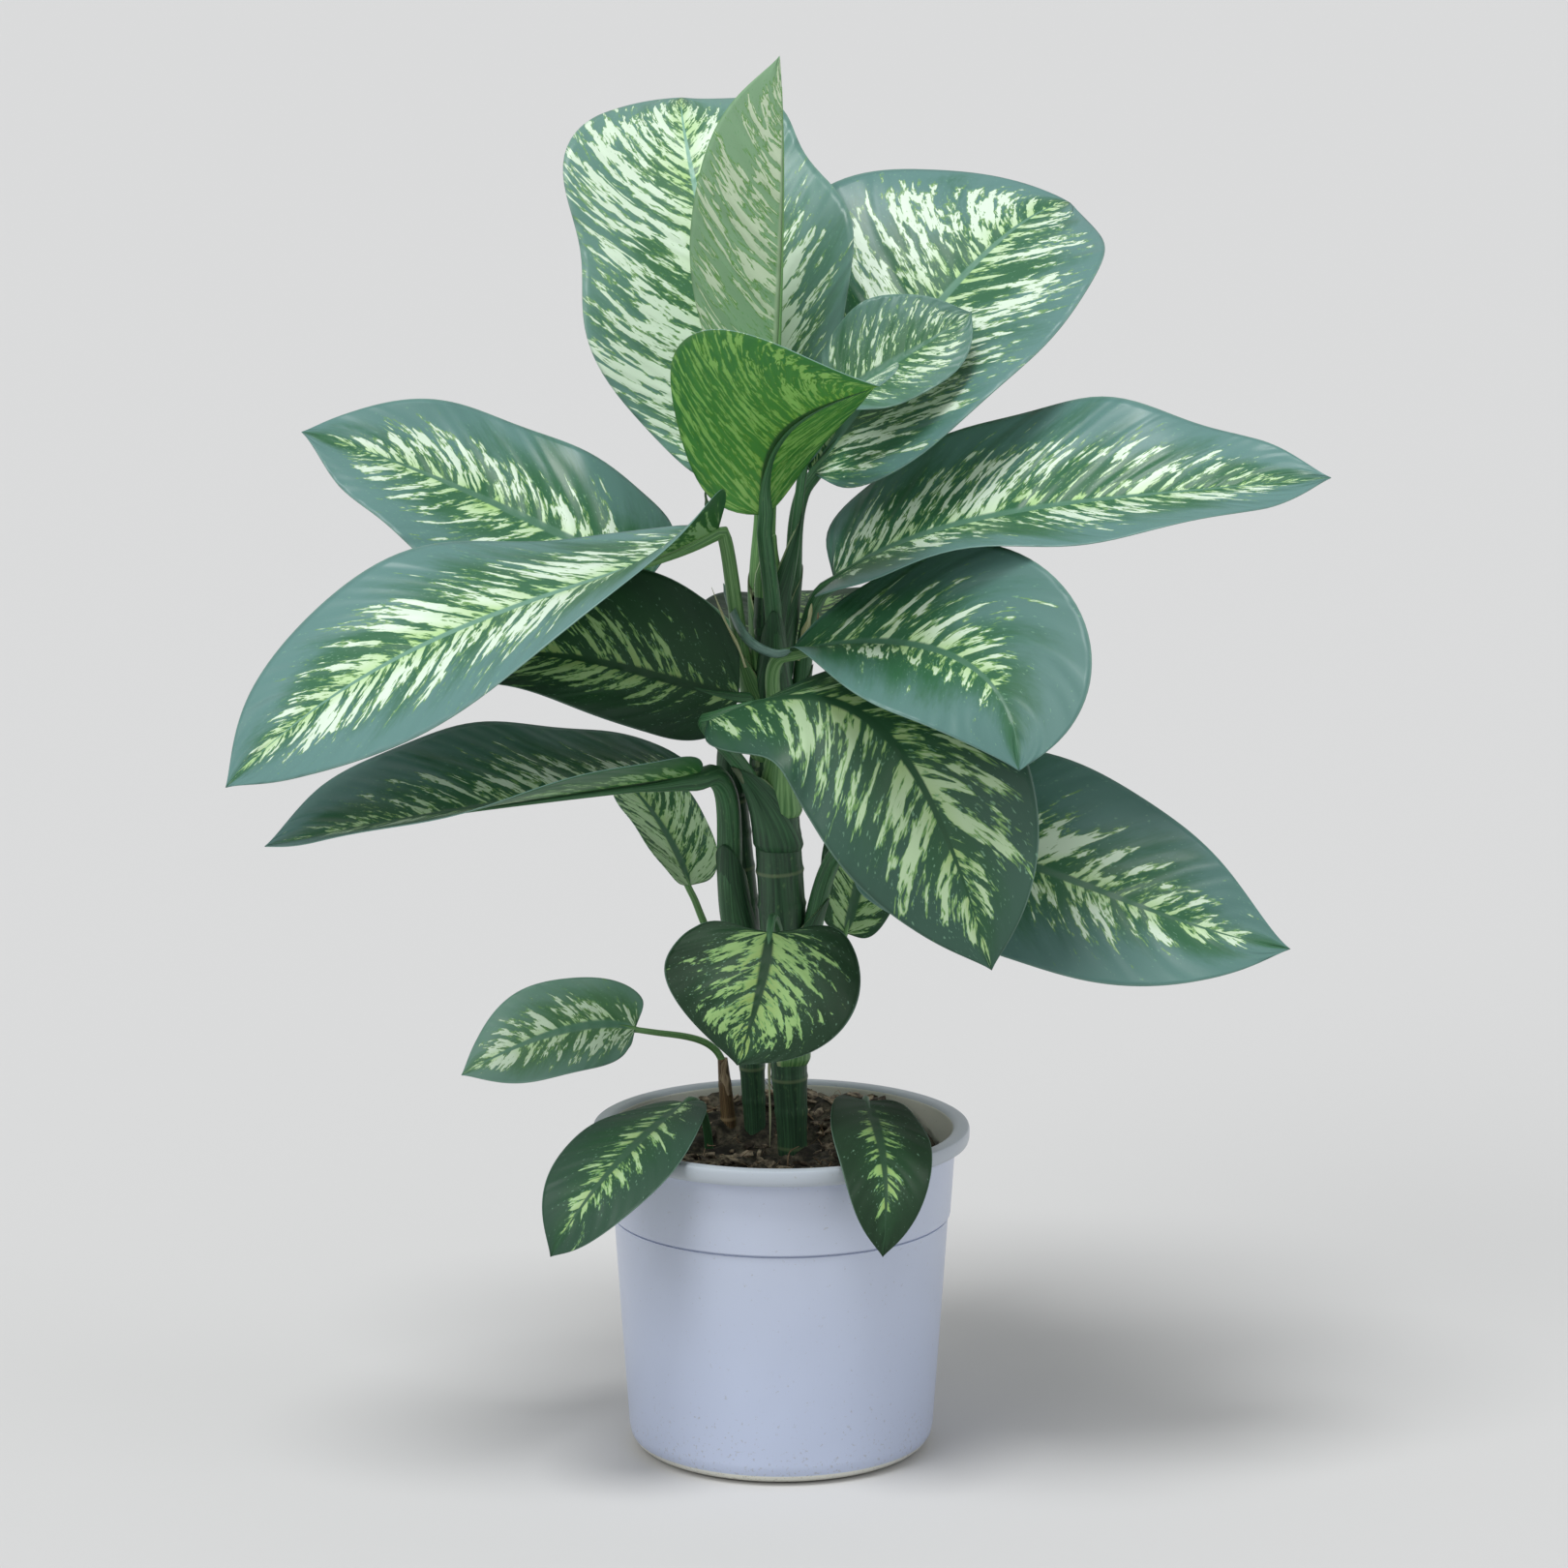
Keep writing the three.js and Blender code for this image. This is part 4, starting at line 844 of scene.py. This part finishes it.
def leaf_material(name, colours, glow, contrast):
    """Waxy leaf skin with the streaked markings. glow: share of light that passes through the blade."""
    skin = start_material(name)
    veins, blade = [
        add(skin, "SeparateXYZ", {"Vector": add(skin, "UVMap", uv_map=uv_map)}).outputs
        for uv_map in ("veins", "blade")
    ]
    off_rib = add(skin, "Math", {0: veins["Y"]}, operation="ABSOLUTE")
    reach = add(skin, "Math", {0: blade["Y"]}, operation="ABSOLUTE")
    zone, fullness, rib_paleness, youth, age_and_shade, fineness = [
        add(skin, "Attribute", attribute_name=mark, attribute_type="GEOMETRY").outputs["Fac"]
        for mark in ("zone", "fullness", "rib_paleness", "youth", "age_and_shade", "grain")
    ]
    # The side veins lean toward the tip, about 60 degrees off the midrib, and the streaks lean with them.
    vein_root = add(skin, "Math", {0: off_rib, 1: -vein_lean, 2: veins["X"]}, operation="MULTIPLY_ADD")
    unscaled = add(skin, "CombineXYZ", {"X": vein_root, "Y": veins["Y"]})
    leaning = add(skin, "VectorMath", {0: unscaled, "Scale": fineness}, operation="SCALE")
    leaning_parts = add(skin, "SeparateXYZ", {"Vector": leaning})
    patterns = []
    for scale, place, settings in (
        # Streaks follow the side veins: 4 to 7 mm wide and 15 to 40 mm long.
        ((138.0, 38.0), (0.0, 0.0), {"Detail": 3.0, "Roughness": 0.58, "Distortion": 1.1}),
        # Their edges are feathered by finer dashes, 1 to 3 mm wide and 8 mm long.
        ((380.0, 120.0), (3.0, 7.0), {"Detail": 3.0, "Roughness": 0.6, "Distortion": 0.4}),
        # Bolder groups of streaks alternate with greener bands, 30 to 60 mm apart.
        ((34.0, 16.0), (11.0, 2.0), {"Detail": 1.0}),
        # Fine mint speckles, 1 to 2 mm, lie in loose swarms outside the streaks.
        ((620.0, 420.0), (1.0, 9.0), {"Detail": 1.0}),
        # The blade bulges softly between its side veins, more in some parts than in others.
        ((42.0, 20.0), (5.0, 3.0), {"Detail": 1.0}),
    ):
        patterns.append(stretched_noise(skin, leaning, (*scale, 1.0), settings, (*place, 0.0)))
    streaks, dashes, groups, speckles, swell = patterns

    # Between two side veins, about 13 mm apart, the blade is palest.
    vein_turn = add(skin, "Math", {0: groups, 1: 12.0}, operation="MULTIPLY")
    vein_way = add(skin, "Math", {
        0: leaning_parts.outputs["X"], 1: 2000 * math.pi / vein_spacing_mm, 2: vein_turn,
    }, operation="MULTIPLY_ADD")
    between = add(skin, "Math", {0: vein_way}, operation="SINE")
    grain = add(skin, "Math", {0: between, 1: 0.04}, operation="MULTIPLY")
    for pattern, weight in ((streaks, 0.62), (dashes, 0.38), (groups, 0.3)):
        grain = add(skin, "Math", {0: pattern, 1: weight, 2: grain}, operation="MULTIPLY_ADD")
    # Streaks fill the leaf's pale zone, thin out toward the margin and stop short of the tip.
    near_tip = add(skin, "MapRange", {
        "Value": blade["X"], "From Min": 0.76, "From Max": 1.0, "To Max": 0.55,
    })
    inside = zone
    for border in (reach, near_tip):
        inside = add(skin, "Math", {0: inside, 1: border}, operation="SUBTRACT")
    thinning = add(skin, "MapRange", {
        "Value": inside, "From Min": -0.2, "From Max": 0.3, "To Min": -0.4, "To Max": -0.205,
    })
    filled = add(skin, "Math", {0: fullness, 1: 0.3, 2: thinning}, operation="MULTIPLY_ADD")
    amount = add(skin, "Math", {0: grain, 1: filled}, operation="ADD")
    # A yellow-green seam edges each streak before the cream begins.
    seam, pale = [
        add(skin, "MapRange", {
            "Value": amount, "From Min": start, "From Max": end, "To Max": contrast,
        }, interpolation_type="SMOOTHSTEP")
        for start, end in ((0.575, 0.61), (0.605, 0.645))
    ]
    speckled = add(skin, "Math", {0: amount, 1: 0.55, 2: speckles}, operation="MULTIPLY_ADD")
    speckle = add(skin, "MapRange", {
        "Value": speckled, "From Min": 0.93, "From Max": 1.0, "To Max": 0.5,
    })
    # Painted sheen and light: the green is painted greyer, bluer and lighter in a mottled band along the
    # margin, standing in for the reflection of the bright air, and the band reaches further in toward the
    # tip, standing in for the stronger light on the arching tip.
    mottled = reach
    for pattern, weight in ((groups, 1.5), (blade["X"], 0.5), (dashes, 0.5)):
        mottled = add(skin, "Math", {0: pattern, 1: weight, 2: mottled}, operation="MULTIPLY_ADD")
    margin = add(skin, "MapRange", {
        "Value": mottled, "From Min": 1.4, "From Max": 2.15,
    }, interpolation_type="SMOOTHSTEP")
    # The cream is yellower beside the midrib and whiter further out, with cloudy patches.
    cloudy = add(skin, "Math", {0: groups, 1: 0.8, 2: reach}, operation="MULTIPLY_ADD")
    outer = add(skin, "MapRange", {"Value": cloudy, "From Min": 0.32, "From Max": 0.7})
    # The midrib is a smooth band that narrows from the base to a thread at the tip.
    rib_width = add(skin, "MapRange", {"Value": blade["X"], "To Min": 0.0046, "To Max": 0.0007})
    rib_ratio = add(skin, "Math", {0: off_rib, 1: rib_width}, operation="DIVIDE")
    rib = add(skin, "MapRange", {"Value": rib_ratio, "From Min": 1.25, "From Max": 0.75})
    # The edge is a thin translucent line, a little paler than the blade.
    edge = add(skin, "MapRange", {"Value": reach, "From Min": 0.982, "From Max": 0.994, "To Max": 0.4})

    # On an old leaf the cream has turned olive near the midrib and leaf green further out.
    # The same value also paints shade: it dims the cream and takes the painted sheen off the margin.
    painted_sheen_green, fresh_cream, old_cream, rib_green = [
        add(skin, "Mix", {0: share, 6: colours[near], 7: colours[far]}, data_type="RGBA")
        for share, near, far in (
            (age_and_shade, "margin", "aged_and_shaded_margin"), (outer, "inner_cream", "cream"),
            (outer, "old_inner", "old_cream"), (rib_paleness, "dark_rib", "pale_rib"),
        )
    ]
    cream = fresh_cream
    for share, tone in ((youth, colours["young_cream"]), (age_and_shade, old_cream)):
        cream = add(skin, "Mix", {0: share, 6: cream, 7: tone}, data_type="RGBA")
    # Old leaves are darker, and so are their ribs: partly their age, partly painted shade on leaves that lie
    # under others.
    age_and_shade_darkening = "#97A48C"
    darkened_rib = add(skin, "Mix", {
        0: age_and_shade, 6: rib_green, 7: age_and_shade_darkening,
    }, data_type="RGBA", blend_type="MULTIPLY")
    colour = colours["green"]
    for share, tone, blend in (
        (margin, painted_sheen_green, "MIX"), (youth, colours["young"], "MIX"), (age_and_shade, age_and_shade_darkening, "MULTIPLY"),
        (seam, colours["seam"], "MIX"), (speckle, colours["speckle"], "MIX"), (pale, cream, "MIX"),
        (rib, darkened_rib, "MIX"), (edge, colours["edge"], "MIX"),
    ):
        colour = add(skin, "Mix", {0: share, 6: colour, 7: tone}, data_type="RGBA", blend_type=blend)

    bulges = add(skin, "Bump", {"Height": swell, "Strength": 0.55, "Distance": 0.006})
    height = add(skin, "Math", {0: dashes, 1: 0.4, 2: between}, operation="MULTIPLY_ADD")
    relief = add(skin, "Bump", {
        "Height": height, "Strength": 0.35, "Distance": 0.0004, "Normal": bulges,
    })
    gloss = add(skin, "MapRange", {
        "Value": groups, "From Min": 0.3, "From Max": 0.7,
        "To Min": colours["gloss"] - 0.05, "To Max": colours["gloss"] + 0.07,
    })
    # The wax dulls with age.
    dulled = add(skin, "Math", {0: age_and_shade, 1: 0.22, 2: gloss}, operation="MULTIPLY_ADD")
    waxy = add(skin, "BsdfPrincipled", {
        "Base Color": colour, "Roughness": dulled, "Normal": relief, "IOR": 1.45,
    })
    lit_through = add(skin, "Mix", {0: 0.55, 6: colour, 7: colours["glow"]}, data_type="RGBA")
    shine_through = add(skin, "BsdfTranslucent", {"Color": lit_through})
    both = add(skin, "MixShader", {0: glow, 1: waxy, 2: shine_through})
    add(skin, "OutputMaterial", {"Surface": both})
    return skin


# In each skin the margin tone is painted onto that mottled band as painted sheen and light, and the old
# margin tone is the darker green that old leaves and leaves in painted shade keep there.
upper_skin = leaf_material("waxy_leaf_upper_side", {
    "green": "#3F7452", "margin": "#6B9590", "aged_and_shaded_margin": "#2F5C3F", "young": "#9CBE90",
    "seam": "#7DAA62", "inner_cream": "#BDE692", "cream": "#EEFFEC", "young_cream": "#DDF0CC",
    "old_inner": "#8EA856", "old_cream": "#9DC478", "speckle": "#8FBF9C", "edge": "#93B5A5",
    "dark_rib": "#376B48", "pale_rib": "#94C4AF", "glow": "#6CA53A", "gloss": 0.36,
}, 0.2, 1.0)
under_skin = leaf_material("leaf_underside", {
    "green": "#3C7A3E", "margin": "#38704A", "aged_and_shaded_margin": "#2C5E35", "young": "#A4CCA2",
    "seam": "#6FA850", "inner_cream": "#8DBF6A", "cream": "#A5CF96", "young_cream": "#EAF6DC",
    "old_inner": "#8FA653", "old_cream": "#A3C77E", "speckle": "#6FAE7A", "edge": "#7DAA6C",
    "dark_rib": "#2B5C35", "pale_rib": "#C4E0B8", "glow": "#6CA53A", "gloss": 0.46,
}, 0.25, 1.0)
young_under_skin = leaf_material("young_leaf_underside", {
    "green": "#62B84F", "margin": "#479A4C", "aged_and_shaded_margin": "#2C5E35", "young": "#A6D0A6",
    "seam": "#7DB848", "inner_cream": "#B2E45C", "cream": "#BCE888", "young_cream": "#EAF6DC",
    "old_inner": "#8FA653", "old_cream": "#A3C77E", "speckle": "#6FAE5A", "edge": "#7DAA6C",
    "dark_rib": "#2B5C35", "pale_rib": "#C4E0B8", "glow": "#8CD43E", "gloss": 0.46,
}, 0.48, 0.85)
stalk_skin = stem_material("green_stalk_skin", "#2C5636", "#4F8056", "#4F8056", 0.0)
pale_stalk_skin = stem_material("pale_green_stalk_skin", "#4F7F48", "#8DB87A", "#8DB87A", 0.0)


def sheath_material(name, deep, fresh, rim):
    """The leathery foot of a stalk: dark green, striped along, with a thin papery rim."""
    # Fibres show as stripes 1 to 2 mm wide.
    skin, turned, fibres, green = striped_material(name, (11.0, 60.0), 0.55, (0.36, 0.72), deep, fresh)
    # The rim is where the round coordinate comes back to 0 or a half.
    parts = add(skin, "SeparateXYZ", {"Vector": turned})
    off_rim = add(skin, "Math", {0: parts.outputs["Y"], 1: 0.25}, operation="PINGPONG")
    rim_share = add(skin, "MapRange", {
        "Value": off_rim, "From Min": 0.03, "From Max": 0.008,
    }, interpolation_type="SMOOTHSTEP")
    colour = add(skin, "Mix", {0: rim_share, 6: green, 7: rim}, data_type="RGBA")
    return finish_material(skin, colour, fibres, 0.4, 0.0008, {"Roughness": 0.44, "IOR": 1.42})


sheath_skin = sheath_material("green_leaf_sheath", "#22432D", "#3D6B46", "#9DB58A")
pale_sheath_skin = sheath_material("pale_green_leaf_sheath", "#4A7A45", "#86B273", "#C3D6A2")
pale_stalks = (
    "leaf_spear", "leaf_top_back", "leaf_right_middle", "leaf_left_front", "leaf_left_pale",
    "leaf_right_pale", "leaf_low_left",
)


def sheath_section(cane, foot_height, lean, stalk_curve, reach_share, stalk_width):
    """The skin of a sheath: a hollow leaf foot that wraps its cane and runs out along the stalk."""
    def place_at(share, turn):
        part = turn / math.pi
        outside = part < 1
        across_share = 2 * part - 1 if outside else 3 - 2 * part
        # Its two rims end lower than its back.
        share *= 1 - 0.3 * across_share ** 2
        blend = share * share * (3 - 2 * share)
        stalk_point = stalk_curve(share * reach_share)
        low_point = axis_at_height(cane, foot_height - sheath_drop_mm + sheath_climb_mm * share)
        centre = low_point.lerp(stalk_point, blend)
        way = Vector((0, 0, 1)).lerp(way_at(stalk_curve, max(share * reach_share, 0.01)), blend).normalized()
        outer = Vector((*(stalk_point - low_point).xy, 0))
        outer = (outer.normalized() if outer.length > 3 else lean).lerp(lean, 1 - blend)
        outer -= Vector((0, 0, 0.4 * blend))
        outer = (outer - way * outer.dot(way)).normalized()
        side = way.cross(outer)
        width = radius_at_height(cane, foot_height) * (1 + 0.1 * share) + 1.1
        width += (stalk_width * (1.15 - 0.3 * reach_share) + 0.1 - width) * blend
        open_angle = math.radians(150 - 80 * share ** 1.5) * across_share
        wall = 0.9 * math.sqrt(max(0.0, 1 - across_share ** 4)) * (1 - share ** 3) + 0.08
        uneven = 0.6 * (1 - share) * math.sin(across_share * 3 + share * 5)
        foot_taper = 1.7 * max(0.0, 1 - share / 0.07)
        radius = width + (wall / 2 if outside else -wall / 2) + uneven - foot_taper
        return centre + outer * radius * math.cos(open_angle) + side * radius * math.sin(open_angle)

    return place_at


for place_in_row, (name, leaf) in enumerate(leaves_mm.items()):
    leaf["curve"], leaf["length"] = midrib_curve(leaf["spine"])
    leaf["base_face"], leaf["tip_face"] = [Vector(face).normalized() for face in leaf["face"]]
    short_name = name.removeprefix("leaf_")

    blade_mesh = bmesh.new()
    zone_mark = blade_mesh.verts.layers.float.new("zone")
    blade_mesh.loops.layers.uv.new("blade")
    blade_mesh.loops.layers.uv.new("veins")
    blade_map, vein_map = [blade_mesh.loops.layers.uv[layer] for layer in ("blade", "veins")]
    bmesh.ops.create_grid(blade_mesh, x_segments=rows_along, y_segments=rows_across, size=0.5)
    for vertex in blade_mesh.verts:
        # Rows stand closer together near the stalk and the tip.
        vertex.co.x += 0.5 - 0.4 * math.sin(2 * math.pi * (vertex.co.x + 0.5)) / (2 * math.pi)
    for face in blade_mesh.faces:
        for loop in face.loops:
            along, across = loop.vert.co.x, loop.vert.co.y * 2
            loop[blade_map].uv = (along, across)
            loop[vein_map].uv = (
                (along * leaf["length"] + pattern_step_mm * place_in_row) / 1000,
                across * leaf["width"] / 2000,
            )
    for vertex in blade_mesh.verts:
        bare_base, bare_tip = leaf.get("bare", (0.01, 0.01))
        opened = min(1, vertex.co.x / bare_base, (1 - vertex.co.x) / bare_tip)
        vertex[zone_mark] = leaf["markings"][0] * (leaf.get("right_zone", 1) if vertex.co.y > 0 else 1)
        vertex[zone_mark] += 0.6 * (opened - 1)
        vertex.co = blade_point(leaf, vertex.co.x, vertex.co.y * 2) / 1000
    bmesh.ops.remove_doubles(blade_mesh, verts=blade_mesh.verts, dist=1e-6)
    middle = frame_at(leaf, leaf["length"] / 2)[2]
    blade_mesh.normal_update()
    facing = sum(face.normal.dot(middle) * face.calc_area() for face in blade_mesh.faces)
    if facing < 0:
        bmesh.ops.reverse_faces(blade_mesh, faces=blade_mesh.faces)
    is_young = 0 < leaf["markings"][3] < 0.5
    blade = piece_from(
        blade_mesh, "blade_" + short_name, upper_skin, young_under_skin if is_young else under_skin,
    )
    # The last of the markings is the leaf's age, which also paints shade on leaves that lie under others.
    for mark, value in zip(("fullness", "rib_paleness", "youth", "age_and_shade"), leaf["markings"][1:]):
        set_tone(blade, mark, value)
    set_tone(blade, "grain", leaf.get("grain", 1))
    wall = blade.modifiers.new("blade_thickness", "SOLIDIFY")
    wall.thickness = blade_thickness_mm / 1000
    wall.offset = 0
    wall.material_offset = 1
    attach(blade, "root")
    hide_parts(name)

    # The stalk rises from its cane or the soil, bends to the blade and runs out under it as the midrib.
    if "foot" in leaf:
        foot = Vector((*leaf["foot"], soil_height_mm - stalk_hole_depth_mm))
        rise = Vector((0, 0, 1))
    else:
        cane = canes_mm[leaf["cane"]]
        lean = Vector((*leaf["side"], 0))
        foot = axis_at_height(cane, leaf["foot_height"])
        foot += lean * radius_at_height(cane, leaf["foot_height"]) * stalk_inset
        rise = (Vector((0, 0, 1)) + lean * stalk_lean).normalized()
    base = leaf["curve"](0)
    span = (base - foot).length
    low = foot + rise * span * stalk_rise
    high = base - way_at(leaf["curve"], 0) * span * leaf.get("lead", 0.3)
    stalk_points = []
    for step in range(9):
        t = step / 9
        u = 1 - t
        stalk_points.append(foot * u ** 3 + low * 3 * u * u * t + high * 3 * u * t * t + base * t ** 3)
    free_points = len(stalk_points)
    for share in (0.0, 0.05, 0.1, 0.2, 0.35, 0.5, 0.65, 0.8, 0.93):
        point, way, up, right, share = frame_at(leaf, share * leaf["length"])
        thick = leaf["stalk"] * 0.45 if share <= 0.1 else leaf["stalk"] * 0.4 * (1 - share) ** 1.1 + 0.2
        stalk_points.append(point - up * thick)
    stalk_curve, stalk_length = smooth_curve(stalk_points)
    free_share = (even_curve([*stalk_points[:free_points], base])[1]) / stalk_length

    def stalk_radius(share, turn, leaf=leaf, free_share=free_share):
        if share < free_share:
            return leaf["stalk"] * (1.15 - 0.3 * share / free_share)
        along = (share - free_share) / (1 - free_share)
        return leaf["stalk"] * 0.85 * (1 - along) ** 1.6 * (0.45 + 0.55 * (1 - min(1, along * 6))) + 0.25

    section = round_section(stalk_curve, stalk_radius, stalk_steps)
    skin = pale_stalk_skin if name in pale_stalks else stalk_skin
    stalk = tube_piece("stalk_" + short_name, section, stalk_length, 16, stalk_steps, skin)
    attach(stalk, "root")
    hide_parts(name)

    # The foot of the stalk is a sheath that clasps the cane and overlaps the next one.
    if leaf.get("cane", "shoot_left") != "shoot_left":
        section = sheath_section(
            cane, leaf["foot_height"], lean, stalk_curve, free_share * 0.5, leaf["stalk"],
        )
        skin = pale_sheath_skin if name in pale_stalks else sheath_skin
        sheath = tube_piece("sheath_" + short_name, section, span, 40, 40, skin)
        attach(sheath, "root")
        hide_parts(name)


# Dried sheath tips
# Shed leaves and a spent flower left papery points, 2 to 7 mm wide, on the stems. Each is a flat strip
# that grows out of its stem. A pale root hangs down between the canes.
def strip_material(name, deep, fresh, roughness):
    """A thin dry or fleshy strip with fibres along it, less than a millimetre apart."""
    skin, turned, fibres, colour = striped_material(name, (70.0, 26.0), 0.6, (0.35, 0.65), deep, fresh)
    return finish_material(skin, colour, fibres, 0.5, 0.0006, {"Roughness": roughness})


dry_paper = strip_material("dried_papery_sheath", "#9A9A6C", "#D9DDB4", 0.8)
root_skin = strip_material("aerial_root_skin", "#9AA37C", "#C2C8A4", 0.7)
brown_paper = strip_material("brown_papery_scale", "#6B5A44", "#A8967A", 0.85)
green_point = strip_material("drying_sheath_point", "#2F4A33", "#4F6B45", 0.5)
rim_skin = strip_material("waxy_sheath_rim", "#5B7F74", "#86A69C", 0.4)
# Points from root to tip, width at the widest, and skin
strips_mm = {
    "dry_tip_left": ([(-22, -28, 508), (-26, -30, 520), (-35, -29, 538), (-43, -27, 558)], 2, dry_paper),
    "dry_point_left": (
        [(-42, -21, 596), (-44, -21.5, 604), (-46, -22, 611), (-47, -22, 617)], 4, green_point,
    ),
    "dry_spathe_a": ([(10, -24, 512), (13, -27, 524), (17, -24, 536), (19, -19, 547)], 5, dry_paper),
    "dry_spathe_b": ([(11, -25, 514), (15, -28, 526), (22, -25, 534), (23, -23, 542)], 3.4, brown_paper),
    "aerial_root": (
        [(-3, 28, 262), (-7.3, 39, 243), (-7.6, 37, 224), (-7, 33, 205), (-7.5, 30, 182)], 1.6, root_skin,
    ),
    "dry_scale_shoot": ([(-35, 55, 214), (-36, 54, 222), (-37, 53.5, 232), (-35, 53, 240)], 7, brown_paper),
}
for name, (points, width, material) in strips_mm.items():
    strip_curve, strip_length = smooth_curve(points)

    def strip_radius(share, turn, width=width):
        half = width / 2 * math.sin(math.pi * (0.28 + 0.72 * share)) ** 0.7 + 0.05
        curled = half * (1 + 0.25 * math.sin(share * 17 + width))
        return curled * 0.22 / math.hypot(0.22 * math.cos(turn), curled * math.sin(turn))

    section = round_section(strip_curve, strip_radius, 40, Vector((0.9, -0.4, 0)))
    strip = tube_piece(name, section, strip_length, 20, 40, material)
    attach(strip, "root")

# The sheath of the middle right leaf has a free waxy rim that wraps the front of the stem and runs into
# the blade.
rim_points = [
    (-36, 4, 556), (-31, -10, 543), (-26, -24, 533), (-17, -38, 524), (-3, -43, 519), (8, -40, 521),
]
rim_curve, rim_length = smooth_curve(rim_points)


def rim_radius(share, turn):
    half = 2.2 + 1.2 * math.sin(math.pi * share)
    half *= min(1, share / 0.08 + 0.1, (1 - share) / 0.08 + 0.1)
    return half * 0.4 / math.hypot(0.4 * math.cos(turn), half * math.sin(turn))


rim_section = round_section(rim_curve, rim_radius, 60, Vector((0.2, 0.3, 1)))
rim = tube_piece("sheath_rim_right_middle", rim_section, rim_length, 20, 60, rim_skin)
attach(rim, "root")
